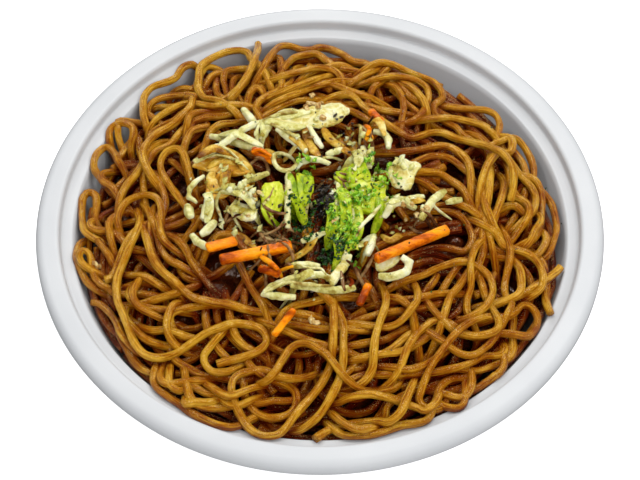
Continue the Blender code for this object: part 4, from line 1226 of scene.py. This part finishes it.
def sauce_material():
    look = Look("sauce")
    lumps = look.noise(look.place(), 300, 4, 0.6)
    normal = look.bump(lumps, 0.8, 0.0012)
    return look.finish({
        "Base Color": look.ramp(lumps, ((0.35, (0.016, 0.003, 0.001)), (0.65, (0.07, 0.010, 0.001)))),
        "Roughness": 0.12, "Specular Tint": (1, 0.6, 0.4, 1), "Coat Weight": 0.6, "Coat Roughness": 0.05,
        "Normal": normal, "Coat Normal": normal})


def plastic_material():
    """White foamed plastic: satin, with a faint grain and slow unevenness from the mould."""
    look = Look("bowl_plastic")
    place = look.place()
    slow = look.noise(place, 35, 3, 0.5)
    normal = look.bump(look.add_scaled(slow, 2.0, look.noise(place, 2600, 3, 0.6)), 0.12, 0.0002)
    return look.finish({
        "Base Color": look.ramp(slow, ((0.3, (0.54, 0.552, 0.565)), (0.7, (0.58, 0.59, 0.60)))),
        "Roughness": 0.42, "Specular IOR Level": 0.35, "Normal": normal, "Coat Normal": normal})


def vegetable_material(name, stops, vein_scale, vein, gloss, scatter, squash=(1, 1, 1), bumpiness=0.6,
                       sheen=(1, 0.95, 0.8)):
    """Cooked, wet vegetable: patches through the ramp's colours, with fine bent veins and a wet coat."""
    look = Look(name)
    place = look.place()
    squashed = look.scaled(place, squash)
    patches = look.noise(squashed, 170, 6, 0.66)
    warp = look.noise(place, 300, 3, 0.5, "Color")
    bent = look.node("ShaderNodeVectorMath", 0, {0: warp, 1: (0.003, 0.003, 0.003), 2: place},
                     operation="MULTIPLY_ADD")
    to_vein = look.node("ShaderNodeTexVoronoi", "Distance", {
        "Vector": look.scaled(bent, squash), "Scale": vein_scale}, feature="DISTANCE_TO_EDGE")
    width = 0.12
    veins = look.add_scaled(look.math("SMOOTH_MIN", to_vein, width, 0.05), -vein / width, vein)
    light = look.add_scaled(look.attribute("tone"), 0.08, -0.28)
    light = look.math("ADD", look.add_scaled(patches, 1.55, light), veins)
    height = look.add_scaled(veins, 3.0, look.noise(squashed, 1400, 3, 0.6))
    normal = look.bump(look.add_scaled(patches, 1.5, height), bumpiness, 0.0004)
    return look.finish({
        "Base Color": look.ramp(light, stops), "Roughness": gloss, "Specular IOR Level": 0.3,
        "Specular Tint": (*sheen, 1), "Coat Weight": 0.35, "Coat Roughness": 0.07,
        "Subsurface Weight": scatter, "Subsurface Radius": (1.0, 0.8, 0.4), "Subsurface Scale": 0.0012,
        "Normal": normal, "Coat Normal": normal})


def leafy_material(name, stops, gloss, scatter=0.0):
    """Small flakes and crumbs: one colour each, a little mottled."""
    look = Look(name)
    mottle = look.noise(look.place(), 900, 3, 0.6)
    colour = look.ramp(look.add_scaled(look.attribute("tone"), 0.13, mottle), stops)
    normal = look.bump(mottle, 0.5, 0.0003)
    return look.finish({
        "Base Color": colour, "Roughness": gloss, "Coat Weight": 0.3, "Coat Roughness": 0.1,
        "Subsurface Weight": scatter, "Subsurface Scale": 0.0008, "Normal": normal, "Coat Normal": normal})


# Vegetables: colours from the darkest patches to the lightest as a ramp's places and colours, then the
# veins' scale and strength, roughness and scatter, and where they differ how much the pattern is squashed
# along x, y and z, how bumpy the surface is and the tint of its shine.
VEGETABLES = {
    "cabbage_green": ((
        (0.26, (0.17, 0.29, 0.003)), (0.45, (0.36, 0.47, 0.004)), (0.64, (0.53, 0.58, 0.008)),
        (0.90, (0.68, 0.71, 0.07))), 260, 0.2, 0.3, 0.12, (1, 0.45, 1)),
    "cabbage_pale": ((
        (0.26, (0.42, 0.27, 0.03)), (0.42, (0.62, 0.52, 0.13)), (0.58, (0.74, 0.69, 0.32)),
        (0.8, (0.83, 0.80, 0.54))), 260, 0.16, 0.3, 0.15),
    "cabbage_browned": ((
        (0.28, (0.20, 0.05, 0.002)), (0.45, (0.46, 0.18, 0.006)), (0.62, (0.64, 0.33, 0.02)),
        (0.82, (0.76, 0.56, 0.16))), 300, 0.14, 0.28, 0.1, (0.5, 1, 1)),
    "sprout": ((
        (0.25, (0.26, 0.17, 0.015)), (0.40, (0.50, 0.45, 0.12)), (0.56, (0.70, 0.67, 0.31)),
        (0.8, (0.84, 0.83, 0.58))), 420, 0.05, 0.3, 0.2),
    "carrot": ((
        (0.28, (0.20, 0.02, 0.001)), (0.42, (0.56, 0.10, 0.001)), (0.56, (0.80, 0.22, 0.002)),
        (0.78, (0.92, 0.40, 0.01))), 500, 0.06, 0.28, 0.0, (0.35, 1, 1), 0.6, (1, 0.5, 0.1)),
    "browned_shreds": ((
        (0.30, (0.035, 0.009, 0.003)), (0.46, (0.13, 0.045, 0.014)), (0.62, (0.30, 0.155, 0.055)),
        (0.80, (0.50, 0.36, 0.15))), 420, 0.05, 0.16, 0.0),
    "pale_shreds": ((
        (0.30, (0.25, 0.15, 0.02)), (0.47, (0.50, 0.43, 0.12)), (0.64, (0.72, 0.69, 0.34)),
        (0.84, (0.85, 0.84, 0.62))), 420, 0.05, 0.25, 0.15),
    "saucy_ribbons": ((
        (0.28, (0.16, 0.045, 0.002)), (0.45, (0.42, 0.19, 0.008)), (0.62, (0.66, 0.42, 0.05)),
        (0.82, (0.78, 0.66, 0.26))), 420, 0.06, 0.18, 0.12, (1, 1, 1), 0.8),
    "green_ribbons": ((
        (0.28, (0.14, 0.24, 0.003)), (0.45, (0.34, 0.47, 0.006)), (0.62, (0.54, 0.62, 0.03)),
        (0.84, (0.76, 0.82, 0.24))), 420, 0.08, 0.2, 0.12, (1, 1, 1), 0.8),
    "light_ribbons": ((
        (0.28, (0.36, 0.27, 0.03)), (0.45, (0.56, 0.51, 0.13)), (0.62, (0.72, 0.70, 0.31)),
        (0.82, (0.84, 0.83, 0.55))), 420, 0.06, 0.2, 0.15, (1, 1, 1), 0.8),
}

# Crumbs and flakes: colours, roughness and scatter.
LEAFY = {
    "crumbs": (((0.3, (0.30, 0.13, 0.02)), (0.5, (0.56, 0.34, 0.09)), (0.7, (0.78, 0.62, 0.28))), 0.4),
    "dark_flakes": ((
        (0.35, (0.006, 0.005, 0.006)), (0.55, (0.03, 0.022, 0.016)), (0.75, (0.10, 0.07, 0.045))), 0.3),
    "green_flakes": ((
        (0.35, (0.003, 0.018, 0.003)), (0.55, (0.012, 0.075, 0.006)), (0.75, (0.05, 0.20, 0.012))), 0.4),
    "parsley": ((
        (0.3, (0.05, 0.21, 0.003)), (0.5, (0.20, 0.46, 0.008)), (0.7, (0.50, 0.70, 0.06))), 0.3, 0.1),
}


def topping_materials():
    made = {name: vegetable_material(name, *values) for name, values in VEGETABLES.items()}
    made.update((name, leafy_material(name, *values)) for name, values in LEAFY.items())
    return made


def topping_slot(name):
    """The material of a vegetable: some cabbage pieces are green or browned, and the others pale."""
    if name in ("cabbage_fan", "cabbage_browned"):
        return "cabbage_browned"
    if name in ("cabbage_left", "cabbage_middle", "cabbage_block", "cabbage_long", "cabbage_centre"):
        return "cabbage_green"
    return {"cabbage": "cabbage_pale", "sprout": "sprout", "carrot": "carrot"}[name.split("_")[0]]


# --- Scene ----------------------------------------------------------------------------------------


def make_camera():
    """The camera stands on the near side and looks down at the bowl."""
    camera = object_from("camera", bpy.data.cameras.new("camera"))
    aim = Vector((0, CAMERA_AIM_Y * U, RIM_TOP))
    away = Vector((0, -math.cos(CAMERA_ELEVATION), math.sin(CAMERA_ELEVATION)))
    camera.location = aim + away * CAMERA_DISTANCE * U
    camera.rotation_euler = (math.pi / 2 - CAMERA_ELEVATION, 0, 0)
    camera.data.lens = CAMERA_LENS
    camera.data.clip_start = 0.01
    bpy.context.scene.camera = camera


def area_light(name, place, size, power, colour=(1, 1, 1)):
    """A round lamp, with its place, size and power in metres and watts, that faces the bowl."""
    light = bpy.data.lights.new(name, "AREA")
    light.shape = "DISK"
    light.size = size
    light.energy = power
    light.color = colour
    made = object_from(name, light)
    made.location = place
    made.rotation_euler = (-Vector(place)).to_track_quat("-Z", "Y").to_euler()
    return made


def make_surroundings():
    """White surroundings that don't show in what shines, lamps that do, and a white floor."""
    world = bpy.data.worlds.new("world")
    bpy.context.scene.world = world
    world.use_nodes = True
    sky = world.node_tree.nodes["Background"]
    sky.inputs["Color"].default_value = (0.97, 0.98, 1, 1)
    sky.inputs["Strength"].default_value = 0.60
    world.cycles_visibility.glossy = False
    area_light("key", (0.12, 0.45, 0.85), 0.25, 2.4, (1, 0.985, 0.95))
    area_light("front", (0.35, -0.55, 0.75), 0.5, 3.3).visible_glossy = False
    area_light("low", (0.05, -1.0, 0.25), 0.5, 1.6).visible_glossy = False
    area_light("window", (-0.1, 1.1, 0.6), 0.3, 2.2)
    area_light("glint_left", (-0.5, 0.35, 0.8), 0.1, 1.5)
    area_light("glint_right", (0.5, 0.3, 0.85), 0.1, 1.7)
    bpy.ops.mesh.primitive_plane_add(size=6)
    floor = bpy.context.object
    floor.name = "floor"
    floor.data.materials.append(Look("floor").finish({
        "Base Color": (0.9, 0.9, 0.9, 1), "Roughness": 0.8, "Emission Color": (1, 1, 1, 1),
        "Emission Strength": 0.7}))
    floor.visible_diffuse = False
    floor.visible_glossy = False
    bpy.context.scene.view_settings.view_transform = "Standard"


def main():
    rng = np.random.default_rng(SEED)
    make_camera()
    make_surroundings()
    bowl = make_bowl()
    bowl.data.materials.append(plastic_material())
    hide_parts("bowl")
    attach(bowl, "root")
    toppings = [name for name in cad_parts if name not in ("bowl", "noodles")]
    field = Field()
    topping_ceiling(field, toppings)
    noodle = noodle_material()
    core = make_core(field)
    core.data.materials.append(sauce_material())
    fill = make_fill(field, rng)
    top = make_top(field, rng)
    field.blur(5)
    fill = seen_parts(field, fill)
    third = len(fill) // 3
    groups = {
        "noodles_low": fill[:third],
        "noodles_middle": fill[third : 2 * third],
        "noodles_upper": fill[2 * third :],
        "noodles_top_left": [strand for strand in top if strand[0][:, 0].mean() < 0],
        "noodles_top_right": [strand for strand in top if strand[0][:, 0].mean() >= 0],
    }
    for name, strands in groups.items():
        piece = make_tubes(name, strands, rng, field)
        piece.data.materials.append(noodle)
        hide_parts("noodles")
        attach(piece, "root")
    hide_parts("noodles")
    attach(core, "root")
    materials = topping_materials()
    make_toppings(toppings, materials)
    topping_tops(field, toppings)
    make_small_toppings(field, rng, materials)


main()
